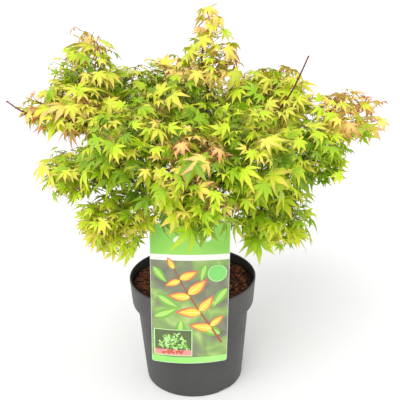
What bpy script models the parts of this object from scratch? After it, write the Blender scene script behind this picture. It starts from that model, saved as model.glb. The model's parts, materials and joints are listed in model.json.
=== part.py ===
"""A Japanese maple in a round plastic nursery pot, with a printed card hooked over the pot's rim.

Metres, +Z up. The origin is the centre of the pot's flat underside and the card faces -Y.
The trunk forks low into boughs. Each bough carries one mass of foliage, which is twigs that
branch from one stem by a seeded rule, with five-lobed leaves fused on. Each mass keeps to its
own cell of the crown, so that no two masses meet.
"""

import math

import bpy
import numpy as np
from mathutils import Vector
from mathutils.bvhtree import BVHTree

MM = 0.001
GAP = 0.3 * MM  # clearance between pieces that rest on each other

# --- pot, soil and card -------------------------------------------------------------------
POT_HEIGHT = 170 * MM
RIM_RADIUS = 95 * MM
COLLAR_FOOT_RADIUS = 92.1 * MM
COLLAR_FOOT_HEIGHT = 131 * MM
NECK_RADIUS = 84.3 * MM
NECK_HEIGHT = 123 * MM
BASE_RADIUS = 74.2 * MM
POT_WALL = 1.4 * MM
RIM_WALL = 2.2 * MM
BASE_PLATE = 2.4 * MM
RIM_BEVEL = 0.6 * MM
FOOT_BEVEL = 1.2 * MM
POT_SEGMENTS = 36
DRAIN_HOLES = 4
DRAIN_HOLE_RADIUS = 4.5 * MM
DRAIN_RING_RADIUS = 48 * MM
NOTCHES = 3
NOTCH_WIDTH = 20 * MM
NOTCH_HEIGHT = 4.5 * MM
NOTCH_DEPTH = 7 * MM
NOTCH_END_HEIGHT = 1.2 * MM  # its height at its inner end
FIRST_NOTCH_DEG = -53  # from +X, so that it lies at the front, to the right of the card
SOIL_HEIGHT = 158 * MM
SOIL_RIPPLE = 1.5 * MM
SOIL_FLAT_RADIUS = 20 * MM
SOIL_CLEARANCE = 0.4 * MM  # between it and the pot's wall
SOIL_RINGS = (0.96, 0.80, 0.62, 0.44)  # of its uneven top, as shares of its radius

CARD_WIDTH = 109 * MM
CARD_FOOT = 71 * MM
CARD_TOP = 300 * MM
CARD_THICKNESS = 0.8 * MM
CARD_LEAN_DEG = 3.5
CARD_TURN_DEG = 1.4
CARD_SHIFT = -5 * MM  # of its middle, towards -X
CARD_BOW_FOOT = 9 * MM  # how far its side edges stand back from its middle line
CARD_BOW_TOP = 4 * MM
CARD_CORNER = 1.5 * MM  # cut off its corners
CARD_CLEARANCE = 0.6 * MM  # between it and the pot's rim
CARD_COLUMNS, CARD_ROWS = 8, 4
HOOK_WIDTH = 24 * MM
HOOK_DROP = 9 * MM
HOOK_REACH = 5.2 * MM  # from the rim's outer edge to the tongue's outer face

# --- tree ---------------------------------------------------------------------------------
TRUNK_FOOT = Vector((2 * MM, 4 * MM, SOIL_HEIGHT + GAP))
TRUNK_TIP = Vector((7 * MM, 9 * MM, 240 * MM))
TRUNK_RADIUS = 6.6 * MM
TRUNK_TIP_RADIUS = 4.6 * MM
FLARE_RADIUS = 11 * MM
FLARE_HEIGHT = 16 * MM
FLARE_FALL = 3  # how fast the flare thins upwards
BUTTRESS = 0.14  # depth of the five roots at the trunk's foot, as a share of its radius
TRUNK_SIDES = 10
TRUNK_RINGS = 9
LIMB_SIDES = 5
LIMB_RINGS = 6
LIMB_CROOK = 1.6 * MM
SEAT_CLEARANCE = 0.345 * MM  # between a bough's foot and the limb it springs from
BOUGH_SPREAD = 0.9  # how sharply a bough turns from its parent's direction, as a tangent
BOUGH_ARCH = 0.35  # how far it comes up from below at its tip
BOUGH_PULLS = (0.35, 0.30)  # the handles of its curve, as shares of its length
BOUGH_THINNING = 0.8  # it thins with this power of the way to its tip

# Each mass of foliage: direction round the pot's axis in degrees from +X, distance of its
# centre from the axis, height of its centre, and its half sizes outwards, sideways and up.
MASSES = {
    "top": (14, 0.032, 0.494, 0.050, 0.052, 0.088),
    "upper_left": (163, 0.149, 0.465, 0.065, 0.068, 0.072),
    "left": (181, 0.161, 0.426, 0.087, 0.074, 0.050),
    "lower_left": (200, 0.162, 0.350, 0.063, 0.066, 0.044),
    "low_front_left": (226, 0.142, 0.295, 0.060, 0.061, 0.055),
    "front_left": (239, 0.130, 0.396, 0.087, 0.082, 0.072),
    "front": (272, 0.142, 0.362, 0.085, 0.084, 0.086),
    "front_right": (302, 0.141, 0.384, 0.087, 0.084, 0.080),
    "upper_right": (10, 0.118, 0.422, 0.074, 0.076, 0.058),
    "right": (0, 0.214, 0.401, 0.078, 0.066, 0.048),
    "mid_right": (340, 0.170, 0.368, 0.064, 0.068, 0.052),
    "lower_right": (328, 0.131, 0.288, 0.072, 0.076, 0.056),
    "rear_left": (131, 0.146, 0.390, 0.088, 0.090, 0.080),
    "rear": (98, 0.140, 0.396, 0.091, 0.088, 0.084),
    "rear_right": (47, 0.141, 0.378, 0.095, 0.090, 0.080),
    "middle": (204, 0.020, 0.404, 0.104, 0.094, 0.076),
}
# How much narrower a mass is at its top than at its middle, as a share, or wider below zero.
TAPERS = {
    "top": 0.5,
    "upper_left": 0.35,
    "left": 0.2,
    "low_front_left": -0.45,
    "right": -0.15,
    "mid_right": -0.2,
    "lower_right": 0.2,
}
# Each bough: what it springs from, how far along that, and its radius there.
BOUGHS = {
    "top": ("trunk", 1.0, 4.4),
    "left": ("trunk", 0.66, 3.6),
    "front": ("trunk", 0.80, 3.6),
    "right": ("trunk", 0.90, 3.8),
    "rear": ("trunk", 0.74, 3.6),
    "middle": ("bough_top", 0.30, 2.4),
    "upper_left": ("bough_top", 0.52, 2.8),
    "upper_right": ("bough_top", 0.64, 2.6),
    "lower_left": ("bough_left", 0.42, 2.6),
    "low_front_left": ("bough_front", 0.34, 2.4),
    "front_left": ("bough_front", 0.56, 2.4),
    "front_right": ("bough_front", 0.66, 2.4),
    "mid_right": ("bough_right", 0.50, 2.6),
    "lower_right": ("bough_right", 0.34, 2.4),
    "rear_left": ("bough_rear", 0.46, 2.6),
    "rear_right": ("bough_rear", 0.58, 2.6),
}
# The two long shoots with buds and no leaves that stand out of the crown: each grows to its tip
# from the twig that ends nearest to a place.
BARE_SHOOTS = {
    "left": (Vector((-214, -20, 424)) * MM, Vector((-250, -10, 447)) * MM),
    "upper_right": (Vector((118, -55, 445)) * MM, Vector((158, -45, 509)) * MM),
}
BOUGH_TIP_RADIUS = 1.8 * MM
BOUGH_ENTRY = 0.62  # where a bough ends, as a share of the way from the mass's centre to its skin

# --- foliage ------------------------------------------------------------------------------
SEED = 41
SITES = 7  # twig tips in a mass
SITE_REACH = np.array((0.55, 0.55, 0.74))  # how far out they lie, in the mass's half sizes
SITE_RISE = np.array((0, 0, 0.18))  # how far above its centre they are centred
CANDIDATES = 16
PATH_WEIGHT = 0.35
CELL_MARGIN = 1.2 * MM
STEM_LENGTH = 9 * MM
TWIG_RADIUS = 1.7 * MM
TWIG_TIP_RADIUS = 1.45 * MM
TWIG_SEGMENTS = 2
TWIG_PULLS = (0.35, 0.30)  # the handles of its curve, as shares of its length
SHORTEST_TWIG = 8 * MM
SHOOT_SAG = 0.08  # of a bare shoot, as a share of its length
SHOOT_WIDTHS = (1.0, 0.9, 0.8, 1.5, 0.5)  # in twig tips, from its foot to the bud at its tip
BUD_LENGTH = 5 * MM
LEAF_LENGTH = 49 * MM  # of the middle lobe, from the palm of the leaf
LEAF_SIZES = (0.9, 1.12)  # a leaf's size in this length
LEAF_THICKNESS = 1.3 * MM
LEAF_CURL = 0.22  # how far its lobes bend down, as a share of the square of their length
LEAF_HEEL = 0.06  # how far it reaches behind its palm
PETIOLE_LENGTH = 12 * MM
PETIOLE_RADIUS = 0.52 * MM
PETIOLE_RISE = 0.3
LEAF_TURN_DEG = (25, 80)  # from its twig's direction
LEAF_DROOP_DEG = (18, 75)
LEAF_TILT = 0.35  # how far it rolls, as a tangent
TIP_INSET = 2.4 * MM  # of the leaves at a twig's tip
MIDDLE_INSET = 2 * MM  # of the leaves past its middle
PAIR_STEP = 1 * MM  # half the step along the twig between the leaves of a pair
LEAF_TRIES = 70
LEAF_SHRINK = 0.4  # how much smaller the last leaf tried is
LEAF_CHOICES = 5
LONG_TWIG = 26 * MM  # one that has leaves at its middle too
MOST_LEAVES = 17  # in a mass
LIMB_CLEARANCE = 0.8 * MM
# The lobes of a leaf: angle from its axis in degrees, and length as a share of the middle one's.
LOBES = ((0, 1.0), (45, 0.88), (92, 0.58))
NOTCH = 0.33  # how far from the palm the gaps between lobes reach, as a share of the middle lobe
BLADE_FACES = 4 * (2 * len(LOBES) - 1)

COLOURS = {
    "pot_plastic": (0.105, 0.103, 0.100),
    "soil": (0.060, 0.028, 0.018),
    "card_print": (0.170, 0.420, 0.110),
    "bark": (0.150, 0.085, 0.050),
    "leaf_green": (0.330, 0.480, 0.030),
}


# --- shared helpers -----------------------------------------------------------------------
def material(name):
    """The named Principled material, made the first time it is asked for."""
    found = bpy.data.materials.get(name)
    if found:
        return found
    made = bpy.data.materials.new(name)
    made.use_nodes = True
    shader = made.node_tree.nodes["Principled BSDF"]
    shader.inputs["Base Color"].default_value = (*COLOURS[name], 1)
    shader.inputs["Roughness"].default_value = 0.45 if name == "pot_plastic" else 0.65
    shader.inputs["Metallic"].default_value = 0
    return made


def add_object(name, points, faces, look, smooth=True):
    mesh = bpy.data.meshes.new(name)
    mesh.from_pydata([tuple(p) for p in points], [], faces)
    mesh.materials.append(material(look))
    if smooth:
        mesh.shade_smooth()
    made = bpy.data.objects.new(name, mesh)
    bpy.context.scene.collection.objects.link(made)
    return made


def remove_object(made):
    mesh = made.data
    bpy.data.objects.remove(made)
    bpy.data.meshes.remove(mesh)


def apply_boolean(target, operation, cutter=None, collection=None):
    """Applies one Boolean to target and removes what it used."""
    change = target.modifiers.new(operation.lower(), "BOOLEAN")
    change.operation = operation
    change.solver = "MANIFOLD"
    if collection:
        change.operand_type = "COLLECTION"
        change.collection = collection
    else:
        change.object = cutter
    bpy.context.view_layer.update()
    graph = bpy.context.evaluated_depsgraph_get()
    result = bpy.data.meshes.new_from_object(target.evaluated_get(graph))
    target.modifiers.clear()
    old = target.data
    target.data = result
    bpy.data.meshes.remove(old)
    result.name = target.name
    for used in list(collection.objects) if collection else [cutter]:
        remove_object(used)


def turned(profile, segments):
    """Points and faces of a closed body turned round Z. The profile runs from the axis at the
    bottom, outwards and up, and back to the axis at the top."""
    points = [Vector((0, 0, profile[0][1]))]
    for radius, height in profile[1:-1]:
        for k in range(segments):
            turn = 2 * math.pi * k / segments
            points.append(Vector((radius * math.cos(turn), radius * math.sin(turn), height)))
    points.append(Vector((0, 0, profile[-1][1])))
    rings = len(profile) - 2
    faces = []
    for k in range(segments):
        after = (k + 1) % segments
        faces.append((0, 1 + after, 1 + k))
        for ring in range(rings - 1):
            low, high = 1 + ring * segments, 1 + (ring + 1) * segments
            faces.append((low + k, low + after, high + after, high + k))
        last = 1 + (rings - 1) * segments
        faces.append((last + k, last + after, len(points) - 1))
    return points, faces


def tube(path, radii, sides, lobes=0.0):
    """Points and faces of a closed tube along a path, with no twist from ring to ring.
    lobes is the depth of five buttresses on the first ring, as a share of its radius."""
    points, faces = [], []
    side = None
    for i, (centre, radius) in enumerate(zip(path, radii)):
        along = path[min(i + 1, len(path) - 1)] - path[max(i - 1, 0)]
        along.normalize()
        if side is None:
            side = along.orthogonal().normalized()
        side = (side - along * side.dot(along)).normalized()
        other = along.cross(side)
        depth = lobes * max(0.0, 1 - i / 2)
        for k in range(sides):
            turn = 2 * math.pi * k / sides
            reach = radius * (1 + depth * math.cos(5 * turn))
            points.append(centre + (side * math.cos(turn) + other * math.sin(turn)) * reach)
    faces.append(tuple(reversed(range(sides))))
    for ring in range(len(path) - 1):
        low, high = ring * sides, (ring + 1) * sides
        for k in range(sides):
            after = (k + 1) % sides
            faces.append((low + k, low + after, high + after, high + k))
    faces.append(tuple(range((len(path) - 1) * sides, len(path) * sides)))
    return points, faces


def curve(start, start_pull, end, end_pull, count):
    """Points along a cubic curve. The pulls are its handles, as vectors from its ends."""
    found = []
    for i in range(count):
        t = i / (count - 1)
        u = 1 - t
        found.append(
            start * u**3
            + (start + start_pull) * (3 * u * u * t)
            + (end + end_pull) * (3 * u * t * t)
            + end * t**3
        )
    return found


# --- pot, soil and card -------------------------------------------------------------------
def pot_inner_radius(height):
    """The radius of the pot's inner wall at a height."""
    outer = (
        (0.0, BASE_RADIUS),
        (NECK_HEIGHT, NECK_RADIUS),
        (COLLAR_FOOT_HEIGHT, COLLAR_FOOT_RADIUS),
        (POT_HEIGHT, RIM_RADIUS),
    )
    return float(np.interp(height, *zip(*outer))) - POT_WALL


def make_pot():
    over_step = 0.4 * MM
    profile = [
        (0, 0),
        (BASE_RADIUS - FOOT_BEVEL, 0),
        (BASE_RADIUS, 1.4 * MM),
        (NECK_RADIUS, NECK_HEIGHT),
        (COLLAR_FOOT_RADIUS, COLLAR_FOOT_HEIGHT),
        (RIM_RADIUS, POT_HEIGHT - RIM_BEVEL),
        (RIM_RADIUS - RIM_BEVEL, POT_HEIGHT),
        (RIM_RADIUS - RIM_WALL + RIM_BEVEL, POT_HEIGHT),
        (RIM_RADIUS - RIM_WALL, POT_HEIGHT - RIM_BEVEL),
        (pot_inner_radius(COLLAR_FOOT_HEIGHT), COLLAR_FOOT_HEIGHT + over_step),
        (pot_inner_radius(NECK_HEIGHT), NECK_HEIGHT + over_step),
        (pot_inner_radius(BASE_PLATE), BASE_PLATE),
        (0, BASE_PLATE),
    ]
    pot = add_object("pot", *turned(profile, POT_SEGMENTS), "pot_plastic")
    for k in range(DRAIN_HOLES):
        turn = 2 * math.pi * k / DRAIN_HOLES
        place = Vector((math.cos(turn), math.sin(turn), 0)) * DRAIN_RING_RADIUS
        path = [place + Vector((0, 0, -2 * MM)), place + Vector((0, 0, BASE_PLATE + 2 * MM))]
        drill = add_object("drill", *tube(path, [DRAIN_HOLE_RADIUS] * 2, 8), "pot_plastic")
        apply_boolean(pot, "DIFFERENCE", drill)
    for k in range(NOTCHES):
        turn = math.radians(FIRST_NOTCH_DEG) + 2 * math.pi * k / NOTCHES
        apply_boolean(pot, "DIFFERENCE", notch_cutter(turn))
    pot.data.set_sharp_from_angle(angle=math.radians(35))


def notch_cutter(turn):
    """A block across the pot's bottom corner, whose top rises outwards."""
    outwards = Vector((math.cos(turn), math.sin(turn), 0))
    across = Vector((-math.sin(turn), math.cos(turn), 0))
    inner = BASE_RADIUS - NOTCH_DEPTH
    outer = BASE_RADIUS + 4 * MM
    below = -2 * MM
    section = ((inner, below), (outer, below), (outer, NOTCH_HEIGHT), (inner, NOTCH_END_HEIGHT))
    points = [
        outwards * r + across * (side * NOTCH_WIDTH / 2) + Vector((0, 0, z))
        for side in (-1, 1)
        for r, z in section
    ]
    faces = [(0, 1, 2, 3), (7, 6, 5, 4)] + [
        (k + 4, (k + 1) % 4 + 4, (k + 1) % 4, k) for k in range(4)
    ]
    return add_object("notch_cutter", points, faces, "pot_plastic")


def make_soil():
    """The root ball and its loose top, which fill the pot to just under its rim."""
    rng = np.random.default_rng(SEED)
    clear = SOIL_CLEARANCE
    top_rings = (*SOIL_RINGS, SOIL_FLAT_RADIUS / RIM_RADIUS)
    over_step = 1.5 * MM
    wall = [
        (pot_inner_radius(BASE_PLATE) - clear, BASE_PLATE + GAP),
        (pot_inner_radius(NECK_HEIGHT) - clear, NECK_HEIGHT + over_step),
        (pot_inner_radius(COLLAR_FOOT_HEIGHT) - clear, COLLAR_FOOT_HEIGHT + over_step),
    ]
    edge = pot_inner_radius(SOIL_HEIGHT) - 2 * clear
    profile = [(0, BASE_PLATE + GAP)] + wall + [(edge, SOIL_HEIGHT - 3 * MM)]
    profile += [(edge * share, SOIL_HEIGHT) for share in top_rings] + [(0, SOIL_HEIGHT)]
    segments = POT_SEGMENTS // 2
    points, faces = turned(profile, segments)
    first_top = 1 + (len(wall) + 1) * segments
    last_flat = len(points) - 1 - segments
    for i in range(first_top, last_flat):
        points[i].z += rng.uniform(-1, 1) * SOIL_RIPPLE
    add_object("soil", points, faces, "soil")


def card_point(across, up, depth):
    """A point of the card: across from its middle line, up from the pot's underside, and
    depth out of its back face. Its middle line leans against the rim."""
    share = (up - CARD_FOOT) / (CARD_TOP - CARD_FOOT)
    bow = CARD_BOW_FOOT + (CARD_BOW_TOP - CARD_BOW_FOOT) * share
    back = bow * (2 * across / CARD_WIDTH) ** 2
    lean = (up - POT_HEIGHT) * math.tan(math.radians(CARD_LEAN_DEG))
    turn = math.tan(math.radians(CARD_TURN_DEG))
    return Vector(
        (
            CARD_SHIFT + across + (up - POT_HEIGHT) * turn,
            -(RIM_RADIUS + CARD_CLEARANCE + lean + depth) + back,
            up - across * turn,
        )
    )


def make_card():
    columns, rows = CARD_COLUMNS, CARD_ROWS
    points, faces = [], []
    for depth in (0, CARD_THICKNESS):
        for j in range(rows + 1):
            for i in range(columns + 1):
                across = CARD_WIDTH * (i / columns - 0.5)
                up = CARD_FOOT + (CARD_TOP - CARD_FOOT) * j / rows
                if i in (0, columns) and j in (0, rows):
                    across -= math.copysign(CARD_CORNER, across)
                    up += CARD_CORNER if j == 0 else -CARD_CORNER
                points.append(card_point(across, up, depth))
    width = columns + 1
    layer = width * (rows + 1)
    for j in range(rows):
        for i in range(columns):
            a = j * width + i
            faces.append((a, a + width, a + width + 1, a + 1))
            faces.append((layer + a, layer + a + 1, layer + a + width + 1, layer + a + width))
    border = list(range(width))
    border += [j * width + columns for j in range(1, rows + 1)]
    border += [rows * width + i for i in range(columns - 1, -1, -1)]
    border += [j * width for j in range(rows - 1, 0, -1)]
    for a, b in zip(border, border[1:] + border[:1]):
        faces.append((a, b, layer + b, layer + a))
    card = add_object("label_card", points, faces, "card_print", smooth=False)
    apply_boolean(card, "UNION", make_hook())


def make_hook():
    """The tongue behind the card that passes over the rim and hangs inside it."""
    sheet = CARD_THICKNESS
    front = -(RIM_RADIUS + CARD_CLEARANCE + GAP)
    inside = -(RIM_RADIUS - HOOK_REACH)
    under = POT_HEIGHT + GAP
    section = (
        (front, under),
        (inside, under),
        (inside, under - HOOK_DROP),
        (inside + sheet, under - HOOK_DROP),
        (inside + sheet, under + sheet),
        (front, under + sheet),
    )
    points = [
        Vector((CARD_SHIFT + side * HOOK_WIDTH / 2, y, z)) for side in (-1, 1) for y, z in section
    ]
    count = len(section)
    faces = [tuple(reversed(range(count))), tuple(range(count, 2 * count))] + [
        (k, (k + 1) % count, (k + 1) % count + count, k + count) for k in range(count)
    ]
    return add_object("hook", points, faces, "card_print")


# --- trunk and boughs ---------------------------------------------------------------------
def mass_frame(name):
    """The centre of a mass, its three axes as rows, and its half sizes along them."""
    degrees, reach, height, *half_sizes = MASSES[name]
    turn = math.radians(degrees)
    outwards = np.array((math.cos(turn), math.sin(turn), 0))
    sideways = np.array((-math.sin(turn), math.cos(turn), 0))
    centre = outwards * reach + np.array((0, 0, height))
    return centre, np.array((outwards, sideways, (0, 0, 1))), np.array(half_sizes)


def crooked(path, rng):
    """The path with its inner points moved a little, as a twig turns at each node."""
    return [path[0]] + [
        p + Vector(rng.uniform(-1, 1, 3)) * LIMB_CROOK for p in path[1:-1]
    ] + [path[-1]]


def point_along(path, share):
    """The point and direction at a share of the way along a path."""
    place = share * (len(path) - 1)
    i = min(int(place), len(path) - 2)
    return path[i].lerp(path[i + 1], place - i), (path[i + 1] - path[i]).normalized()


def trunk_path():
    rise = TRUNK_TIP - TRUNK_FOOT
    leave = Vector((-3 * MM, 1 * MM, rise.z / 3))
    path = curve(TRUNK_FOOT, leave, TRUNK_TIP, -rise / 3, TRUNK_RINGS)
    radii = []
    for p in path:
        up = p.z - TRUNK_FOOT.z
        taper = TRUNK_RADIUS + (TRUNK_TIP_RADIUS - TRUNK_RADIUS) * up / rise.z
        flare = math.exp(-FLARE_FALL * up / FLARE_HEIGHT)
        radii.append(taper + (FLARE_RADIUS - TRUNK_RADIUS) * flare)
    return path, radii


def bough_path(name, limbs, rng):
    """The line and radii of a bough, from inside its parent to the skin of its mass."""
    parent, share, base_radius = BOUGHS[name]
    path, radii = limbs[parent]
    start, along = point_along(path, share)
    centre, axes, half_sizes = mass_frame(name)
    to_centre = Vector(centre) - start
    inwards = np.array(-to_centre.normalized())
    skin = 1 / np.linalg.norm(axes @ inwards / half_sizes)
    tip = Vector(centre + inwards * skin * BOUGH_ENTRY)
    length = (tip - start).length
    if share == 1.0:
        start = start + along * GAP
        side = Vector((0, 0, 0))
    else:
        side = (to_centre - along * to_centre.dot(along)).normalized()
    leave = (along + side * BOUGH_SPREAD).normalized() * length * BOUGH_PULLS[0]
    arrive = -(to_centre.normalized() + Vector((0, 0, BOUGH_ARCH))).normalized()
    arrive *= length * BOUGH_PULLS[1]
    line = crooked(curve(start, leave, tip, arrive, LIMB_RINGS), rng)
    base = base_radius * MM
    shares = (i / (LIMB_RINGS - 1) for i in range(LIMB_RINGS))
    return line, [base + (BOUGH_TIP_RADIUS - base) * share**BOUGH_THINNING for share in shares]


def make_limbs():
    """The trunk, and the boughs, each cut to sit clear of the limb it springs from."""
    rng = np.random.default_rng(SEED + 1)
    limbs = {"trunk": trunk_path()}
    add_object("trunk", *tube(*limbs["trunk"], TRUNK_SIDES, lobes=BUTTRESS), "bark")
    flatten_foot(bpy.data.objects["trunk"])
    for name, (parent, share, _) in BOUGHS.items():
        limb = "bough_" + name
        limbs[limb] = bough_path(name, limbs, rng)
        bough = add_object(limb, *tube(*limbs[limb], LIMB_SIDES), "bark")
        if share == 1.0:
            continue
        path, radii = limbs[parent]
        sides = TRUNK_SIDES if parent == "trunk" else LIMB_SIDES
        grown = [radius + SEAT_CLEARANCE for radius in radii]
        cutter = add_object("seat_cutter", *tube(path, grown, sides), "bark")
        apply_boolean(bough, "DIFFERENCE", cutter)
        keep_largest_piece(bough)
    return limbs


def flatten_foot(trunk):
    """Brings the trunk's lowest ring level, so that it stands flat on the soil."""
    for point in trunk.data.vertices[:TRUNK_SIDES]:
        point.co.z = TRUNK_FOOT.z


def keep_largest_piece(made):
    """Drops the scraps that a cut leaves on the far side of a limb."""
    mesh = made.data
    neighbours = [[] for _ in mesh.vertices]
    for edge in mesh.edges:
        a, b = edge.vertices
        neighbours[a].append(b)
        neighbours[b].append(a)
    piece_of = [-1] * len(neighbours)
    sizes = []
    for first in range(len(neighbours)):
        if piece_of[first] >= 0:
            continue
        piece_of[first] = len(sizes)
        todo, count = [first], 0
        while todo:
            here = todo.pop()
            count += 1
            for other in neighbours[here]:
                if piece_of[other] < 0:
                    piece_of[other] = piece_of[first]
                    todo.append(other)
        sizes.append(count)
    if len(sizes) == 1:
        return
    largest = sizes.index(max(sizes))
    kept = [i for i in range(len(neighbours)) if piece_of[i] == largest]
    place = {old: new for new, old in enumerate(kept)}
    faces = [
        tuple(place[v] for v in face.vertices) for face in mesh.polygons if face.vertices[0] in place
    ]
    points = [mesh.vertices[i].co.copy() for i in kept]
    mesh.clear_geometry()
    mesh.from_pydata([tuple(p) for p in points], [], faces)
    mesh.shade_smooth()


# --- foliage ------------------------------------------------------------------------------
class Space:
    """The space of one mass: a tapered ellipsoid, in the cell of the crown nearest to it."""

    def __init__(self, name):
        self.centre, self.axes, self.half_sizes = mass_frame(name)
        self.taper = TAPERS.get(name, 0.0)
        self.planes = []
        own = np.prod(self.half_sizes) ** (2 / 3)
        for other in MASSES:
            if other == name:
                continue
            centre, _, half_sizes = mass_frame(other)
            towards = centre - self.centre
            apart = np.linalg.norm(towards)
            share = 0.5 + (own - np.prod(half_sizes) ** (2 / 3)) / (2 * apart**2)
            normal = towards / apart
            self.planes.append((normal, normal @ self.centre + share * apart - CELL_MARGIN))

    def holds(self, points):
        """Whether every point is in the cell and in the ellipsoid."""
        points = np.atleast_2d(points)
        if any((points @ normal > limit).any() for normal, limit in self.planes):
            return False
        scaled = (points - self.centre) @ self.axes.T / self.half_sizes
        scaled[:, :2] /= 1 - self.taper * scaled[:, 2:].clip(-1, 1)
        return bool((np.linalg.norm(scaled, axis=1) <= 1).all())

    def draw(self, rng):
        """A random point of the part of the space where twigs end. It lies high in the space,
        because leaves hang from the twigs."""
        step = rng.normal(size=3)
        step *= rng.uniform(0.1, 1) ** 0.4 / np.linalg.norm(step)
        step = step * SITE_REACH + SITE_RISE
        step[:2] *= 1 - self.taper * step[2]
        return self.centre + (step * self.half_sizes) @ self.axes


def spread_sites(space, rng, root, count):
    """Points spread evenly through a space: each is the furthest of some drawn candidates from
    those already placed, and from the root."""
    sites = [np.array(root)]
    while len(sites) <= count:
        drawn = [space.draw(rng) for _ in range(CANDIDATES)]
        held = [point for point in drawn if space.holds(point)]
        if held:
            sites.append(max(held, key=lambda p: min(np.linalg.norm(p - s) for s in sites)))
    return sites[1:]


def grow_twigs(root, direction, sites, is_free):
    """Joins the sites to the root, nearest first. Each twig starts from the node that makes the
    shortest way and leaves it free, and bends off in that node's direction. Returns its path,
    how far from the root it starts, and its length."""
    nodes = [(Vector(root), Vector(direction), 0.0)]
    twigs = []
    for site in sorted(sites, key=lambda s: np.linalg.norm(s - np.array(root))):
        site = Vector(site)
        nodes.sort(key=lambda node: (site - node[0]).length + PATH_WEIGHT * node[2])
        for start, heading, depth in nodes:
            length = (site - start).length
            leave = heading * length * TWIG_PULLS[0]
            arrive = (start - site) * TWIG_PULLS[1]
            path = curve(start, leave, site, arrive, TWIG_SEGMENTS + 1)
            if length > SHORTEST_TWIG and is_free(*tube(path, [TWIG_RADIUS] * len(path), 3)):
                break
        else:
            continue
        for i in range(1, len(path)):
            along = (path[i] - path[i - 1]).normalized()
            nodes.append((path[i], along, depth + length * i / TWIG_SEGMENTS))
        twigs.append((path, depth, length))
    return twigs


def leaf_mesh(node, petiole, axis, normal, size):
    """Points and faces of one leaf: a five-lobed lens on a three-sided stalk sunk in its twig."""
    palm = node + petiole
    across = normal.cross(axis)
    outline = []
    for i, (degrees, length) in enumerate(LOBES):
        outline.append((degrees, length))
        if i + 1 < len(LOBES):
            outline.append(((degrees + LOBES[i + 1][0]) / 2, NOTCH))
    outline = [(-degrees, length) for degrees, length in reversed(outline)] + outline[1:]
    points = []
    for degrees, length in outline:
        reach = length * size
        drop = LEAF_CURL * length * length * size
        turn = math.radians(degrees)
        points.append(
            palm + axis * (reach * math.cos(turn)) + across * (reach * math.sin(turn)) - normal * drop
        )
    heel = palm - axis * (LEAF_HEEL * size)
    ring = [
        heel + across * PETIOLE_RADIUS,
        heel - across * PETIOLE_RADIUS,
        palm - normal * LEAF_THICKNESS,
    ]
    run = petiole.normalized()
    stalk_side = (across - run * across.dot(run)).normalized() * PETIOLE_RADIUS
    stalk_up = run.cross(stalk_side)
    foot = [node + stalk_side, node - stalk_side, node - stalk_up]
    count = len(points)
    points += ring + foot + [palm]
    left, right, keel, foot_left, foot_right, foot_keel, top = range(count, count + 7)
    rim = [right] + list(range(count)) + [left]
    faces = [(top, a, b) for a, b in zip(rim, rim[1:])]
    faces += [(keel, b, a) for a, b in zip(rim, rim[1:])]
    faces += [
        (top, left, right),
        (right, left, foot_left, foot_right),
        (left, keel, foot_keel, foot_left),
        (keel, right, foot_right, foot_keel),
        (foot_left, foot_keel, foot_right),
    ]
    return points, faces


def leaf_pose(along, turn, droop, tilt):
    """The stalk, axis and normal of a leaf. Its stalk leaves the twig turned from the twig's own
    direction, and its blade hangs by the droop and is rolled about its axis by the tilt."""
    up = Vector((0, 0, 1))
    level = Vector((along.x, along.y, 0)).normalized()
    lead = level * math.cos(turn) + up.cross(level) * math.sin(turn)
    petiole = (lead + up * PETIOLE_RISE).normalized() * PETIOLE_LENGTH
    axis = lead * math.cos(droop) - up * math.sin(droop)
    normal = lead * math.sin(droop) + up * math.cos(droop)
    return petiole, axis, (normal + axis.cross(normal) * math.tan(tilt)).normalized()


def leaf_nodes(twigs):
    """Where leaves stand, and the twig's direction there: a pair at each tip, then one at each
    side of the twigs' middles. The leaves of a pair stand a little apart along the twig."""
    for path, _, _ in twigs:
        along = (path[-1] - path[-2]).normalized()
        for side in (-1, 1):
            yield path[-1] - along * (TIP_INSET + side * PAIR_STEP), along, side
    for path, _, length in twigs:
        if length > LONG_TWIG:
            along = (path[-1] - path[0]).normalized()
            for side in (-1, 1):
                yield path[1] + along * (MIDDLE_INSET + side * PAIR_STEP), along, side


class Crowd:
    """Solids that the next one has to miss."""

    def __init__(self):
        self.points, self.faces = [], []

    def add(self, points, faces):
        offset = len(self.points)
        self.points += points
        self.faces += [tuple(v + offset for v in face) for face in faces]
        self.tree = BVHTree.FromPolygons(self.points, self.faces)

    def misses(self, points, faces):
        return not self.faces or not self.tree.overlap(BVHTree.FromPolygons(points, faces))


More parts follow.
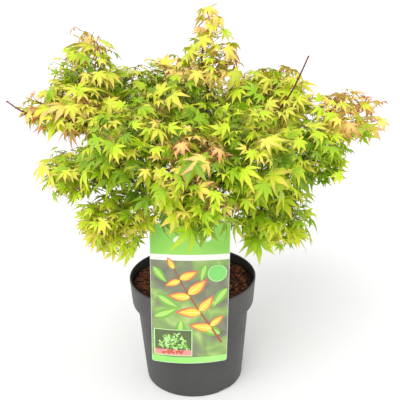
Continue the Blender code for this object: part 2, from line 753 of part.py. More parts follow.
def add_leaves(twigs, space, is_free, rng, add_piece):
    """Hangs leaves on the twigs, and returns how many there are. Each takes the pose that leaves
    it furthest from the others, of some that fit the space and miss the rest of the mass."""
    wood, leaves, middles = Crowd(), Crowd(), []
    for path, _, _ in twigs:
        wood.add(*tube(path, [TWIG_RADIUS] * len(path), 3))
    for node, along, side in leaf_nodes(twigs):
        if len(middles) == MOST_LEAVES:
            break
        best, best_room, found = None, -1, 0
        for attempt in range(LEAF_TRIES):
            spread = attempt / LEAF_TRIES
            nearest, widest = LEAF_TURN_DEG
            turn = side * math.radians(rng.uniform(nearest, widest * (1 + spread)))
            droop = math.radians(rng.uniform(*LEAF_DROOP_DEG))
            size = LEAF_LENGTH * rng.uniform(*LEAF_SIZES) * (1 - LEAF_SHRINK * spread)
            pose = leaf_pose(along, turn, droop, rng.uniform(-LEAF_TILT, LEAF_TILT))
            middle = np.array(node + pose[0] + pose[1] * (size / 2))
            out = np.linalg.norm((middle - space.centre) @ space.axes.T / space.half_sizes)
            room = min([np.linalg.norm(middle - other) for other in middles] + [LEAF_LENGTH])
            room *= 1 + out
            if room < best_room:
                continue
            points, faces = leaf_mesh(node, *pose, size)
            if (
                space.holds(np.array(points))
                and is_free(points, faces)
                and wood.misses(points, faces[:BLADE_FACES])
                and leaves.misses(points, faces)
            ):
                best, best_room, found = (points, faces, middle), room, found + 1
                if found == LEAF_CHOICES:
                    break
        if best:
            add_piece(*best[:2])
            leaves.add(*best[:2])
            middles.append(best[2])
    return len(middles)


def mass_stem(name, limbs):
    """Where a mass's stem starts, just clear of its bough's tip, and which way it runs."""
    path, _ = limbs["bough_" + name]
    direction = (path[-1] - path[-2]).normalized()
    return path[-1] + direction * GAP, direction


def make_mass(name, index, limbs, keep_clear):
    rng = np.random.default_rng(SEED + 100 + index)
    space = Space(name)
    root, direction = mass_stem(name, limbs)
    fork = root + direction * STEM_LENGTH
    mass = add_object(
        "foliage_" + name, *tube([root, fork], [BOUGH_TIP_RADIUS, TWIG_RADIUS], 3), "leaf_green"
    )
    pieces = bpy.data.collections.new("pieces")
    bpy.context.scene.collection.children.link(pieces)

    def add_piece(points, faces):
        piece = add_object("piece", points, faces, "leaf_green", smooth=False)
        bpy.context.scene.collection.objects.unlink(piece)
        pieces.objects.link(piece)

    def is_free(points, faces):
        return not BVHTree.FromPolygons(points, faces).overlap(keep_clear)

    sites = spread_sites(space, rng, root, SITES)
    twigs = grow_twigs(fork - direction * TWIG_RADIUS, direction, sites, is_free)
    longest = max(depth + length for _, depth, length in twigs)
    if name in BARE_SHOOTS:
        add_piece(*bare_shoot(twigs, *BARE_SHOOTS[name]))
    for path, depth, length in twigs:
        ends = depth, depth + length
        radii = [
            TWIG_RADIUS + (TWIG_TIP_RADIUS - TWIG_RADIUS) * way / longest
            for way in np.linspace(*ends, len(path))
        ]
        add_piece(*tube(path, radii, 3))
    leaves = add_leaves(twigs, space, is_free, rng, add_piece)
    apply_boolean(mass, "UNION", collection=pieces)
    bpy.data.collections.remove(pieces)
    keep_largest_piece(mass)
    return leaves


def bare_shoot(twigs, place, tip):
    """A long shoot with no leaves and a bud at its tip, from the twig that ends nearest to a
    place."""
    end, before = min(
        ((path[-1], path[-2]) for path, _, _ in twigs), key=lambda ends: (ends[0] - place).length
    )
    start = end + (before - end).normalized() * 2 * TWIG_RADIUS
    reach = tip - start
    along = reach.normalized()
    middle = start + reach / 2 - Vector((0, 0, SHOOT_SAG * reach.length))
    path = [start, middle, tip - along * BUD_LENGTH, tip - along * BUD_LENGTH / 2, tip]
    radii = [TWIG_TIP_RADIUS * share for share in SHOOT_WIDTHS]
    return tube(path, radii, 4)


def clearance_tree(limbs):
    """A search tree of all that foliage has to keep clear of, grown by the clearance."""
    points, faces = [], []

    def add(more_points, more_faces):
        offset = len(points)
        points.extend(more_points)
        faces.extend(tuple(v + offset for v in face) for face in more_faces)

    for name, (path, radii) in limbs.items():
        sides = TRUNK_SIDES if name == "trunk" else LIMB_SIDES
        grown = [radius + LIMB_CLEARANCE for radius in radii]
        add(*tube(path, grown, sides))
    for name in ("pot", "soil", "label_card"):
        mesh = bpy.data.objects[name].data
        add([v.co.copy() for v in mesh.vertices], [tuple(f.vertices) for f in mesh.polygons])
    return BVHTree.FromPolygons(points, faces)


def main():
    for old in list(bpy.data.objects):
        bpy.data.objects.remove(old)
    make_pot()
    make_soil()
    make_card()
    limbs = make_limbs()
    keep_clear = clearance_tree(limbs)
    for index, name in enumerate(MASSES):
        print(name, make_mass(name, index, limbs, keep_clear), "leaves")


main()
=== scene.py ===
"""A potted Japanese maple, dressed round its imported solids.

Metres, +Z up, in the frame of the solids. The trunk and boughs get a bark relief. Each mass of
foliage grows again from its bough by the rule of the solids, from the same seeds, and goes on to
finer twigs, which bear lobed leaves in opposite pairs. The pot, its soil and its card are made
again with finer meshes and procedural finishes.
"""

import json
import math
from collections import namedtuple

import bpy
import numpy as np
from mathutils import Matrix, Vector, noise
from mathutils.bvhtree import BVHTree

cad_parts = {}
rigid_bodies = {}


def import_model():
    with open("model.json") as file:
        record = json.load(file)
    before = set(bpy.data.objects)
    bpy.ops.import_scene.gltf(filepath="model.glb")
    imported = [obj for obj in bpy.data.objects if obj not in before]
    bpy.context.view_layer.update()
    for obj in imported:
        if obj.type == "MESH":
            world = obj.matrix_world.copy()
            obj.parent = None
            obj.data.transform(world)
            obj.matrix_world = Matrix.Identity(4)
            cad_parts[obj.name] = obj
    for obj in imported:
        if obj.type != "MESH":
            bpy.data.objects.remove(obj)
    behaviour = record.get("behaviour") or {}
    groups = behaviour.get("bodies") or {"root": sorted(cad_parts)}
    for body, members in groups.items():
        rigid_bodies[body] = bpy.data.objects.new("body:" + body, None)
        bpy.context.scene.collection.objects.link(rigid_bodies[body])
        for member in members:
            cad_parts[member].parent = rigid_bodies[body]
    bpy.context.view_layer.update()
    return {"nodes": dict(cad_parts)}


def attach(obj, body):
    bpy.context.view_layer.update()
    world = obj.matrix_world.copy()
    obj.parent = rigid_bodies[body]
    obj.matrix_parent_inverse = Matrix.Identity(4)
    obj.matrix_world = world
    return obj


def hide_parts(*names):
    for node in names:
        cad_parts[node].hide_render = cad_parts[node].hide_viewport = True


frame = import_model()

MM = 0.001
GAP = 0.3 * MM  # clearance between pieces that rest on each other

# --- pot, soil and card -------------------------------------------------------------------
POT_HEIGHT = 170 * MM
RIM_RADIUS = 95 * MM
COLLAR_FOOT_RADIUS = 92.1 * MM
COLLAR_FOOT_HEIGHT = 131 * MM
NECK_RADIUS = 84.3 * MM
NECK_HEIGHT = 123 * MM
BASE_RADIUS = 74.2 * MM
POT_WALL = 1.4 * MM
RIM_WALL = 2.2 * MM
BASE_PLATE = 2.4 * MM
BASE_ROUNDING = 2.4 * MM
BASE_FLAT = 14 * MM  # how far in from its edge the base has a ring of points
POT_SEGMENTS = 144
DRAIN_HOLES = 4
DRAIN_HOLE_RADIUS = 4.5 * MM
DRAIN_RING_RADIUS = 48 * MM
RIM_BEAD = 0.3 * MM  # how far the band at the rim stands out
BAND_FOOT, BAND_EDGE = 5 * MM, 4.4 * MM  # where its bevel starts and ends under the top
INNER_STEP = 0.5 * MM  # from the rim's inner face out to the wall's
INNER_FOOT, INNER_EDGE = 7 * MM, 6 * MM  # where that starts and ends under the top
CUT_OVERRUN = 2 * MM  # how far what is cut out runs past the pot
NOTCHES = 3
NOTCH_WIDTH = 20 * MM
NOTCH_HEIGHT = 4.5 * MM
NOTCH_END_HEIGHT = 1.2 * MM  # at its inner end
NOTCH_DEPTH = 7 * MM
NOTCH_OVERRUN = 4 * MM
FIRST_NOTCH_DEG = -53  # from +X

SOIL_HEIGHT = 158 * MM
SOIL_RINGS = 40
SOIL_CLEARANCE = 0.4 * MM
STEP_CLEARANCE = 1.5 * MM  # from the pot's step
SOIL_LUMPS = ((60, 1.6), (190, 1.1))  # cells a metre, and how many millimetres they rise
SOIL_SINK = 3 * MM  # at the wall
SINK_FROM = 0.85  # as a share of the way from the axis to the wall
CHIPS = 1900
CHIP_LENGTH = (3 * MM, 10 * MM)
FIBRES = 520
FIBRE_LENGTH = (7 * MM, 18 * MM)
CHIP_TINTS = ((40, 20, 13), (74, 36, 21), (112, 55, 31), (142, 78, 44), (178, 112, 68))
CHIP_ODDS = (0.26, 0.30, 0.24, 0.13, 0.07)
FIBRE_ODDS = (0.05, 0.2, 0.3, 0.25, 0.2)

CARD_WIDTH = 109 * MM
CARD_FOOT = 71 * MM
CARD_TOP = 300 * MM
CARD_THICKNESS = 0.8 * MM
CARD_COLUMNS = 36
CARD_CORNER = 3.5 * MM
CARD_LEAN_DEG = 3.5
CARD_TURN_DEG = 1.4
CARD_SHIFT = -5 * MM  # of its middle, towards -X
CARD_BOW_FOOT = 9 * MM  # how far its side edges stand back from its middle line
CARD_BOW_TOP = 4 * MM
CARD_CLEARANCE = 0.6 * MM  # from the rim
HOOK_WIDTH = 24 * MM
HOOK_BEND = 1.2 * MM
HOOK_DROP = 9 * MM
HOOK_REACH = 5.2 * MM  # from the rim's outer edge to the tongue's outer face
PRINT_LAYER = 0.06 * MM  # how far each layer of print stands off the one under it
PRINT_STEP = 3  # the longest step of a printed shape in millimetres, so that it follows the bow
BAND_INSET = 0.5 * MM
# The bands of the print: lowest and highest millimetre, scale of its patches and its colours.
BANDS = {
    "card_header": (252, 300, 14, ((0.3, (136, 206, 76)), (0.7, (160, 222, 96)))),
    "card_band": (243, 252, 20, ((0.3, (240, 241, 234)), (0.7, (250, 250, 246)))),
    "card_field": (
        82,
        243,
        26,
        (
            (0.30, (108, 110, 92)),
            (0.72, (182, 206, 126)),
            (0.45, (132, 136, 110)),
            (0.58, (138, 174, 92)),
        ),
    ),
    "card_foot_band": (71, 82, 14, ((0.3, (142, 222, 104)), (0.7, (170, 236, 130)))),
}
INKS = {
    "ink_edge": (222, 120, 96),
    "ink_gold": (244, 212, 78),
    "ink_pale": (250, 236, 150),
    "ink_twig": (170, 92, 66),
    "ink_green": (124, 182, 74),
    "ink_light": (176, 220, 112),
    "ink_dark": (96, 110, 72),
    "ink_disc": (134, 214, 112),
    "ink_ring": (192, 238, 166),
    "ink_white": (248, 249, 242),
    "ink_pink": (226, 150, 150),
    "ink_ground": (198, 96, 66),
}
# Each blurred leaf: its place in millimetres, its angle in degrees and its length.
BLURRED_LEAVES = (
    (-44, 186, -40, 34), (-50, 150, 20, 36), (36, 176, 200, 34), (44, 120, 150, 40),
    (22, 236, 250, 28), (52, 196, 230, 36), (-12, 146, 262, 30), (-50, 232, -60, 30),
)
SPRIG = ((46, 104), (30, 134), (12, 164), (-6, 196), (-22, 230))
# Each leaf of the sprig: how far along the stem, its angle in degrees and its length.
SPRIG_LEAVES = (
    (0.22, 165, 34), (0.26, 40, 26), (0.45, 172, 36), (0.48, 45, 32),
    (0.66, 176, 32), (0.70, 36, 36), (0.86, 196, 24), (0.88, 24, 30), (1.0, 118, 20),
)

# --- tree ---------------------------------------------------------------------------------
TRUNK_FOOT = Vector((2 * MM, 4 * MM, SOIL_HEIGHT + GAP))
TRUNK_TIP = Vector((7 * MM, 9 * MM, 240 * MM))
TRUNK_LEAN = (-3 * MM, 1 * MM)  # of the trunk's curve where it leaves its foot
TRUNK_RINGS = 9
TRUNK_RADIUS = 6.6 * MM
TRUNK_TIP_RADIUS = 4.6 * MM
FLARE_RADIUS = 11 * MM
FLARE_HEIGHT = 16 * MM
FLARE_FALL = 3  # how fast the flare dies away over its height
TRUNK_SIDES = 10  # of the clearance round the trunk
LIMB_SIDES = 5  # of the clearance round a bough
LIMB_RINGS = 6
LIMB_CROOK = 1.6 * MM
TRUNK_MESH_SIDES, BOUGH_MESH_SIDES = 28, 14
TRUNK_STEP, BOUGH_STEP = 2.0 * MM, 2.2 * MM
TRUNK_BARK_DEPTH, BOUGH_BARK_DEPTH = 0.5 * MM, 0.22 * MM
BARK_STRETCH = 0.35  # the bark's furrows run along Z
BARK_CELLS, FINE_BARK_CELLS = 330, 900  # a metre
FINE_BARK_SHARE = 0.4
ROOTS = 5
ROOT_DEPTH = 0.16  # as a share of the flare's radius
ROOT_FALL = 2.2
NODE_RINGS = 9  # rings of the mesh from one old node to the next
NODE_RISE = 0.28 * MM
COLLAR_RISE = 1.3 * MM
COLLAR_LENGTH = 3.5 * MM

# Each mass of foliage: direction round the pot's axis in degrees from +X, distance of its
# centre from the axis, height of its centre, and its half sizes outwards, sideways and up.
MASSES = {
    "top": (14, 0.032, 0.494, 0.050, 0.052, 0.088),
    "upper_left": (163, 0.149, 0.465, 0.065, 0.068, 0.072),
    "left": (181, 0.161, 0.426, 0.087, 0.074, 0.050),
    "lower_left": (200, 0.162, 0.350, 0.063, 0.066, 0.044),
    "low_front_left": (226, 0.142, 0.295, 0.060, 0.061, 0.055),
    "front_left": (239, 0.130, 0.396, 0.087, 0.082, 0.072),
    "front": (272, 0.142, 0.362, 0.085, 0.084, 0.086),
    "front_right": (302, 0.141, 0.384, 0.087, 0.084, 0.080),
    "upper_right": (10, 0.118, 0.422, 0.074, 0.076, 0.058),
    "right": (0, 0.214, 0.401, 0.078, 0.066, 0.048),
    "mid_right": (340, 0.170, 0.368, 0.064, 0.068, 0.052),
    "lower_right": (328, 0.131, 0.288, 0.072, 0.076, 0.056),
    "rear_left": (131, 0.146, 0.390, 0.088, 0.090, 0.080),
    "rear": (98, 0.140, 0.396, 0.091, 0.088, 0.084),
    "rear_right": (47, 0.141, 0.378, 0.095, 0.090, 0.080),
    "middle": (204, 0.020, 0.404, 0.104, 0.094, 0.076),
}
# How much narrower a mass is at its top than at its middle, as a share, or wider below zero.
TAPERS = {
    "top": 0.5,
    "upper_left": 0.35,
    "left": 0.2,
    "low_front_left": -0.45,
    "right": -0.15,
    "mid_right": -0.2,
    "lower_right": 0.2,
}
# Each bough: what it springs from, how far along that, and its radius there in millimetres.
BOUGHS = {
    "top": ("trunk", 1.0, 4.4),
    "left": ("trunk", 0.66, 3.6),
    "front": ("trunk", 0.80, 3.6),
    "right": ("trunk", 0.90, 3.8),
    "rear": ("trunk", 0.74, 3.6),
    "middle": ("bough_top", 0.30, 2.4),
    "upper_left": ("bough_top", 0.52, 2.8),
    "upper_right": ("bough_top", 0.64, 2.6),
    "lower_left": ("bough_left", 0.42, 2.6),
    "low_front_left": ("bough_front", 0.34, 2.4),
    "front_left": ("bough_front", 0.56, 2.4),
    "front_right": ("bough_front", 0.66, 2.4),
    "mid_right": ("bough_right", 0.50, 2.6),
    "lower_right": ("bough_right", 0.34, 2.4),
    "rear_left": ("bough_rear", 0.46, 2.6),
    "rear_right": ("bough_rear", 0.58, 2.6),
}
# The two long shoots with buds and no leaves that stand out of the crown: each grows to its tip
# from the twig that ends nearest to a place.
BARE_SHOOTS = {
    "left": (Vector((-214, -20, 424)) * MM, Vector((-250, -10, 447)) * MM),
    "upper_right": (Vector((118, -55, 445)) * MM, Vector((158, -45, 509)) * MM),
}
BOUGH_TIP_RADIUS = 1.8 * MM
BOUGH_SPREAD = 0.9  # how far a bough turns aside where it leaves its parent
BOUGH_ARCH = 0.35  # how much it climbs where it ends
BOUGH_PULLS = (0.35, 0.3)  # the handles of its curve, as shares of its length
BOUGH_THINNING = 0.8
STEM_ROOT = 3 * MM  # how far the top bough and the masses' stems start inside what bears them
BOUGH_ENTRY = 0.62  # where a bough ends, as a share of the way from the mass's centre to its skin

# --- foliage ------------------------------------------------------------------------------
SEED = 41
MAIN_SITES = 7  # twig tips in a mass that the solids have too
FINE_SITES = 46  # further twig tips
# As many in the masses that show the sky.
OPEN_MASSES = {"top": 22, "right": 26, "upper_left": 28, "lower_left": 33, "lower_right": 36}
MAIN_REACH = np.array((0.55, 0.55, 0.74))  # how far out they lie, in the mass's half sizes
FINE_REACH = np.array((0.66, 0.66, 0.80))
SITE_SHARES, SITE_POWER = (0.1, 1), 0.4  # how far from the middle the points are drawn
SITE_RISE = np.array((0, 0, 0.18))  # how far above its centre they are centred
CANDIDATES = 16
PATH_WEIGHT = 0.35
CELL_MARGIN = 1.2 * MM
CELL_SLACK = 17 * MM  # how far leaves may stand over the border with the next mass
EDGE = (0.87, 1.10)  # how far out a leaf may reach, as a share of the mass's half sizes
SPIRE_EDGE = (0.87, 1.0)  # the same in the mass at the top
STEM_LENGTH = 9 * MM
TWIG_RADIUS = 1.7 * MM
SHORTEST_TWIG = 8 * MM
TWIG_STEPS = 8
TWIG_PULLS = (0.35, 0.3)  # the handles of its curve, as shares of its length
TWIG_FOOT = 1.15  # how much wider its foot is
BROWN_FROM, RED_FROM = 1.0 * MM, 0.62 * MM  # the radii from which a twig is brown or red
LIMB_CLEARANCE = 0.8 * MM
SHOOT_RADIUS = 0.44 * MM  # of a twig that ends in one tip
PIPE_POWER = 0.42  # a twig's radius goes with the number of tips it feeds to this power
BARE_RADII = (1.4 * MM, 1.2 * MM, 1.0 * MM)  # of a bare shoot at its foot, middle and tip
BARE_SAG = 0.08  # as a share of its length
BARE_STEP = 2.5 * MM
TIP_BUDS = 4 * MM  # how much of its length the buds at its tip take up
NODE_STEPS = 11  # steps of the shoot from one pair of buds to the next
NODE_RADIUS = 1.35 * MM

LEAF_LENGTH = (15 * MM, 39 * MM)  # of the middle lobe, from the palm of the leaf
SIZE_SKEW = 1.6  # small leaves outnumber large ones by this power
STALK_LENGTH = (9 * MM, 22 * MM)
STALK_RADIUS = 0.42 * MM
STALK_WIDTHS = (1.35, 0.85)  # from its foot to its palm, as shares of the radius
STALK_FOOT = 1.3  # how much wider its foot is
STALK_PULLS = (0.5, 0.3)  # the handles of its curve, as shares of its length
STALK_RISE = 0.35
STALK_RINGS = 4
LEAF_DROOP_DEG = (-42, 58)
LOW_DROOP_DEG = 30  # how much more the lowest leaves of a mass hang
LEAF_SPACING = 9.5 * MM  # between pairs of leaves along a twig
WIDE_SPACING = {"top": 15 * MM, "right": 13 * MM}  # the same in masses of long thin shoots
# Millimetres from a twig's tip to the leaves there, and half those between the two of a pair.
TIP_INSET, PAIR_STEP = 1.2, 0.6
LEAFLESS_SHARE = 0.12  # of a twig from its foot
LEAF_TURN_DEG = (15, 110)  # how far a leaf turns from its twig's direction
LEAF_TURN_EASE_DEG = 50  # how much more it may turn at the last try
SIZE_EASE, STALK_EASE = 0.2, 0.3  # how much smaller the leaf and stalk are then, as a share
OUTER_WEIGHT = 0.4  # how much an outer place counts as more room
LOW_FROM = 0.4  # how far above its middle a mass's leaves start to hang lower
LEAF_TILT = 0.95  # how far it rolls about its axis, in radians
LEAF_TRIES = 32
LEAF_CHOICES = 3
# The lobes of a leaf: angle from its axis in degrees, and length as a share of the middle one's.
SEVEN_LOBES = ((0, 1.0), (37, 0.92), (77, 0.70), (122, 0.38))
FIVE_LOBES = ((0, 1.0), (42, 0.88), (90, 0.56))
LEAF_SHAPES = (SEVEN_LOBES, FIVE_LOBES, FIVE_LOBES) * 3
LOBE_TURN_DEG = (-4, 4)
LOBE_STRETCH = (0.93, 1.06)
NOTCH = 0.25  # how far from the palm the gaps between lobes reach
NOTCH_SHARE, NOTCH_GROWTH = 0.45, 0.275  # and how that grows with the lobes' lengths
NOTCH_LIFT = 0.02
HEEL, HEEL_TURN_DEG = 0.055, 38  # the corners of the leaf beside its stalk
LOBE_ROOT = 0.8  # where its first row is, as a share of the way to its notches
LOBE_WIDTH = 0.16  # half the greatest width of a lobe, as a share of its length
LOBE_FULLNESS = (0.92, 1.1)
LOBE_BASE, LOBE_BASE_DEG = 0.6, 20
LOBE_BEND = (-0.05, 0.05)
LOBE_DROOP = (0.0, 0.16)
VEIN_WIDTH = 0.011
VEIN_THINNING = 0.7
LOBE_STATIONS = 5
WIDEST = 0.36  # how far along a lobe it is widest
TEETH = 0.09
CURL = (0.08, 0.52)  # how far the lobes of a leaf bend down, as a share of their length squared
FOLD = 0.3  # how far a lobe's edges stand above its vein, as a share of half its width
# The parts of a leaf, and the share of the tips' colour in each.
ZONES = {"heart": 0.0, "blade": 0.22, "flank": 0.58, "tip": 1.0, "vein": 0.0}
FLANK_FROM, TIP_FROM = 0.42, 0.72  # where these zones start along a lobe

CROWN_CENTRE = np.array((0, 0, 0.375))
CROWN_HALF_SIZES = np.array((0.24, 0.20, 0.19))
INSIDE = 0.40  # how far out in the crown its palettes start
OUTWARD_WEIGHT, UPWARD_WEIGHT = 0.65, 0.30  # how a spray's place tells its tint
TINT_SCATTER = (-0.12, 0.45)
TINT_STEP_ODDS = (0.2, 0.6, 0.2)  # of a leaf a tint deeper than its spray, like it, or paler

# Leaf colours from the inside of the crown to its youngest tips: the sRGB colours of a leaf's
# heart and of the tips of its lobes. The two darkest tints are painted shade, for the leaves
# inside the crown.
TINTS = {
    "deep": ((84, 120, 12), (106, 132, 20)),
    "shade": ((116, 158, 14), (142, 168, 26)),
    "green": ((150, 194, 16), (178, 198, 36)),
    "fresh": ((192, 224, 28), (220, 214, 62)),
    "lime": ((214, 226, 56), (234, 202, 100)),
    "yellow": ((234, 228, 80), (240, 200, 114)),
    "gold": ((242, 224, 104), (240, 178, 124)),
    "coral": ((234, 200, 116), (224, 136, 104)),
    "ember": ((214, 158, 92), (196, 102, 80)),
}
RED_STALKS = ("yellow", "gold", "coral", "ember")
VEIN_TINT = (250, 246, 190)
VEIN_SHARE = 0.35
LEAF_ROUGHNESS = 0.46
PLAIN_SPECULAR = 0.35
# The tints of each mass's sprays, from the inside of the crown outwards. The dark tints at the
# start of most palettes are painted shade.
PALETTES = {
    "top": ("green", "fresh", "lime", "gold", "yellow", "lime", "lime"),
    "upper_left": ("shade", "green", "green", "fresh", "lime", "yellow", "gold"),
    "left": ("green", "green", "fresh", "lime", "coral", "lime", "fresh"),
    "lower_left": ("green", "fresh", "fresh", "fresh", "lime", "fresh", "lime"),
    "low_front_left": ("fresh", "fresh", "fresh", "lime", "fresh", "lime", "lime"),
    "front_left": ("shade", "shade", "green", "fresh", "lime", "gold", "coral"),
    "front": ("shade", "green", "green", "fresh", "gold", "lime", "fresh"),
    "front_right": ("deep", "shade", "green", "fresh", "fresh", "lime", "gold"),
    "upper_right": ("shade", "green", "fresh", "lime", "lime", "yellow", "gold"),
    "right": ("green", "fresh", "lime", "lime", "yellow", "gold", "coral"),
    "mid_right": ("shade", "green", "green", "green", "fresh", "lime", "yellow"),
    "lower_right": ("green", "green", "fresh", "green", "fresh", "fresh", "fresh"),
    "rear_left": ("deep", "shade", "fresh", "lime", "lime", "yellow", "gold"),
    "rear": ("deep", "shade", "green", "fresh", "yellow", "gold", "coral"),
    "rear_right": ("deep", "shade", "fresh", "lime", "lime", "yellow", "gold"),
    "middle": ("shade", "green", "fresh", "yellow", "gold", "coral"),
}

# --- stage and camera ---------------------------------------------------------------------
FLOOR_REACH = 15.0
SKY_STRENGTH = 0.83
# Each lamp: the direction it shines from, its strength and its width in degrees.
LAMPS = {"key": ((-0.65, -1.2, 1.4), 1.55, 45), "fill": ((1.4, -0.9, 1.1), 0.35, 60)}
CAMERA_PLACE = Vector((0, -1.0630, 0.7267))
CAMERA_TURN_DEG = -0.71
CAMERA_DIP_DEG = 22.31
CAMERA_ROLL_DEG = -1.01
CAMERA_LENS = 71.07  # millimetres, on a 36 mm sensor


# --- looks --------------------------------------------------------------------------------
def srgb(red, green, blue):
    """The linear colour of an sRGB one whose channels run to 255."""
    shares = (channel / 255 for channel in (red, green, blue))
    return tuple(c / 12.92 if c <= 0.04045 else ((c + 0.055) / 1.055) ** 2.4 for c in shares)


def mixed(first, second, share):
    return tuple(a + (b - a) * share for a, b in zip(first, second))


def plain_look(name, colour, roughness=0.5):
    """A material of one colour, for the small pieces of a joined mesh."""
    made = bpy.data.materials.new(name)
    made.use_nodes = True
    shader = made.node_tree.nodes["Principled BSDF"]
    made.diffuse_color = (*srgb(*colour), 1)
    shader.inputs["Base Color"].default_value = (*srgb(*colour), 1)
    shader.inputs["Roughness"].default_value = roughness
    shader.inputs["Specular IOR Level"].default_value = PLAIN_SPECULAR
    return made


class Look:
    """A Principled material that procedural patterns are laid on."""

    def __init__(self, name, roughness):
        self.material = bpy.data.materials.new(name)
        self.material.use_nodes = True
        self.tree = self.material.node_tree
        self.shader = self.tree.nodes["Principled BSDF"]
        self.shader.inputs["Roughness"].default_value = roughness
        self.place = self.node("TexCoord", "Object")

    def node(self, kind, output, inputs=()):
        """An output of a new node, whose inputs are values or the outputs of other nodes."""
        made = self.tree.nodes.new("ShaderNode" + kind)
        for name, value in dict(inputs).items():
            if isinstance(value, bpy.types.NodeSocket):
                self.tree.links.new(value, made.inputs[name])
            else:
                made.inputs[name].default_value = value
        return made.outputs[output]

    def feed(self, name, output):
        """Joins a node's output to an input of the shader."""
        self.tree.links.new(output, self.shader.inputs[name])

    def noise(self, scale, stretch=(1, 1, 1), detail=4, roughness=0.55, distortion=0.0):
        """A cloudy pattern of so many cells a metre, with the axes scaled by the stretch."""
        place = self.node("Mapping", "Vector", {"Vector": self.place, "Scale": stretch})
        shape = {"Detail": detail, "Roughness": roughness, "Distortion": distortion}
        return self.node("TexNoise", "Fac", {"Vector": place, "Scale": scale, **shape})

    def ramp(self, pattern, stops):
        """Colours dealt out by a pattern: each stop is a value and an sRGB colour."""
        dealt = self.node("ValToRGB", "Color", {"Fac": pattern})
        elements = dealt.node.color_ramp.elements
        for i, (value, colour) in enumerate(stops):
            stop = elements[i] if i < 2 else elements.new(value)
            stop.position = value
            stop.color = (*srgb(*colour), 1)
        return dealt

    def between(self, pattern, low, high):
        """A pattern from 0 to 1 stretched to run from low to high."""
        return self.node("MapRange", "Result", {"Value": pattern, "To Min": low, "To Max": high})

    def blend(self, first, second, pattern):
        """The first colour where a pattern is 0, and the second where it is 1."""
        mix = self.tree.nodes.new("ShaderNodeMix")
        mix.data_type = "RGBA"
        for name, output in (("Factor", pattern), ("A", first), ("B", second)):
            self.tree.links.new(output, mix.inputs[name])
        return mix.outputs["Result"]

    def bump(self, pattern, distance, strength=1.0):
        relief = {"Strength": strength, "Distance": distance, "Height": pattern}
        self.feed("Normal", self.node("Bump", "Normal", relief))


def bark_look():
    look = Look("bark", 0.75)
    streaks = look.noise(420, stretch=(1, 1, 0.22), detail=6, distortion=0.4)
    darks = ((0.28, (58, 40, 30)), (0.75, (150, 122, 92)))
    browns = ((0.47, (98, 72, 52)), (0.6, (120, 92, 66)))
    look.feed("Base Color", look.ramp(streaks, darks + browns))
    look.feed("Roughness", look.between(look.noise(300), 0.6, 0.9))
    look.bump(streaks, 0.5 * MM, 0.7)
    return look.material


def pot_look():
    """Grey injection-moulded plastic, a little mottled, with pale vertical streaks of painted sheen
    and a fine grain.
    """
    look = Look("pot_plastic", 0.5)
    clouds = look.noise(14, detail=3)
    shades = look.ramp(clouds, ((0.3, (59, 59, 58)), (0.7, (70, 69, 68))))
    # Pale streaks stretched up the pot, blended over the grey: painted sheen.
    sheen_streaks = look.noise(90, stretch=(1, 1, 0.12), detail=8, roughness=0.7)
    sheen_mask = look.ramp(sheen_streaks, ((0.66, (0, 0, 0)), (0.78, (70, 70, 70))))
    pale = look.ramp(clouds, ((0.0, (104, 103, 101)), (1.0, (112, 111, 109))))
    look.feed("Base Color", look.blend(shades, pale, sheen_mask))
    look.feed("Roughness", look.between(look.noise(60, detail=6), 0.40, 0.62))
    look.bump(look.noise(1400, detail=3), 0.12 * MM, 0.5)
    return look.material


def soil_look():
    look = Look("soil", 0.9)
    crumbs = look.noise(700, detail=6, roughness=0.7)
    browns = ((0.3, (22, 13, 10)), (0.72, (92, 54, 36)), (0.5, (48, 28, 20)))
    look.feed("Base Color", look.ramp(crumbs, browns))
    look.bump(crumbs, 1.2 * MM)
    return look.material


def card_look():
    """White coated card, which shows at its edges, back and tongue."""
    look = Look("card_white", 0.38)
    whites = ((0.3, (232, 233, 228)), (0.7, (246, 246, 243)))
    look.feed("Base Color", look.ramp(look.noise(60), whites))
    look.bump(look.noise(1800), 0.02 * MM, 0.4)
    return look.material


def print_look(name, stops, scale):
    """Glossy ink in soft patches of colour."""
    look = Look(name, 0.3)
    look.feed("Base Color", look.ramp(look.noise(scale, detail=2, distortion=0.6), stops))
    look.feed("Roughness", look.between(look.noise(240), 0.24, 0.36))
    return look.material


def leaf_looks():
    """The materials of every tint, in the order of the zones."""
    looks = {}
    for tint, (heart, tip) in TINTS.items():
        colours = {zone: mixed(heart, tip, share) for zone, share in ZONES.items()}
        colours["vein"] = mixed(heart, VEIN_TINT, VEIN_SHARE)
        looks[tint] = [
            plain_look(f"leaf_{tint}_{zone}", colours[zone], LEAF_ROUGHNESS) for zone in ZONES
        ]
    return looks


# --- meshes -------------------------------------------------------------------------------
def new_mesh(name, points, faces):
    mesh = bpy.data.meshes.new(name)
    mesh.from_pydata([tuple(p) for p in points], [], faces)
    return mesh


def placed(name, data):
    """A new object of the scene, which shows the data."""
    made = bpy.data.objects.new(name, data)
    bpy.context.scene.collection.objects.link(made)
    return made


def ring_faces(rings, sides):
    """Faces that join rings of points, each to the next."""
    return [
        (low + k, low + (k + 1) % sides, low + (k + 1) % sides + sides, low + k + sides)
        for low in range(0, (rings - 1) * sides, sides)
        for k in range(sides)
    ]


def end_faces(rings, sides):
    """The two faces that close the ends of joined rings."""
    return [tuple(reversed(range(sides))), tuple(range((rings - 1) * sides, rings * sides))]


def grid_faces(rows, width):
    """Faces that join rows of points, each to the next."""
    return [
        (a, a + 1, a + width + 1, a + width)
        for low in range(0, (rows - 1) * width, width)
        for a in range(low, low + width - 1)
    ]


class Bodies:
    """The points and faces of several bodies."""

    def __init__(self):
        self.points, self.faces = [], []

    def add(self, points, faces):
        offset = len(self.points)
        self.points.extend(tuple(p) for p in points)
        self.faces.extend(tuple(v + offset for v in face) for face in faces)


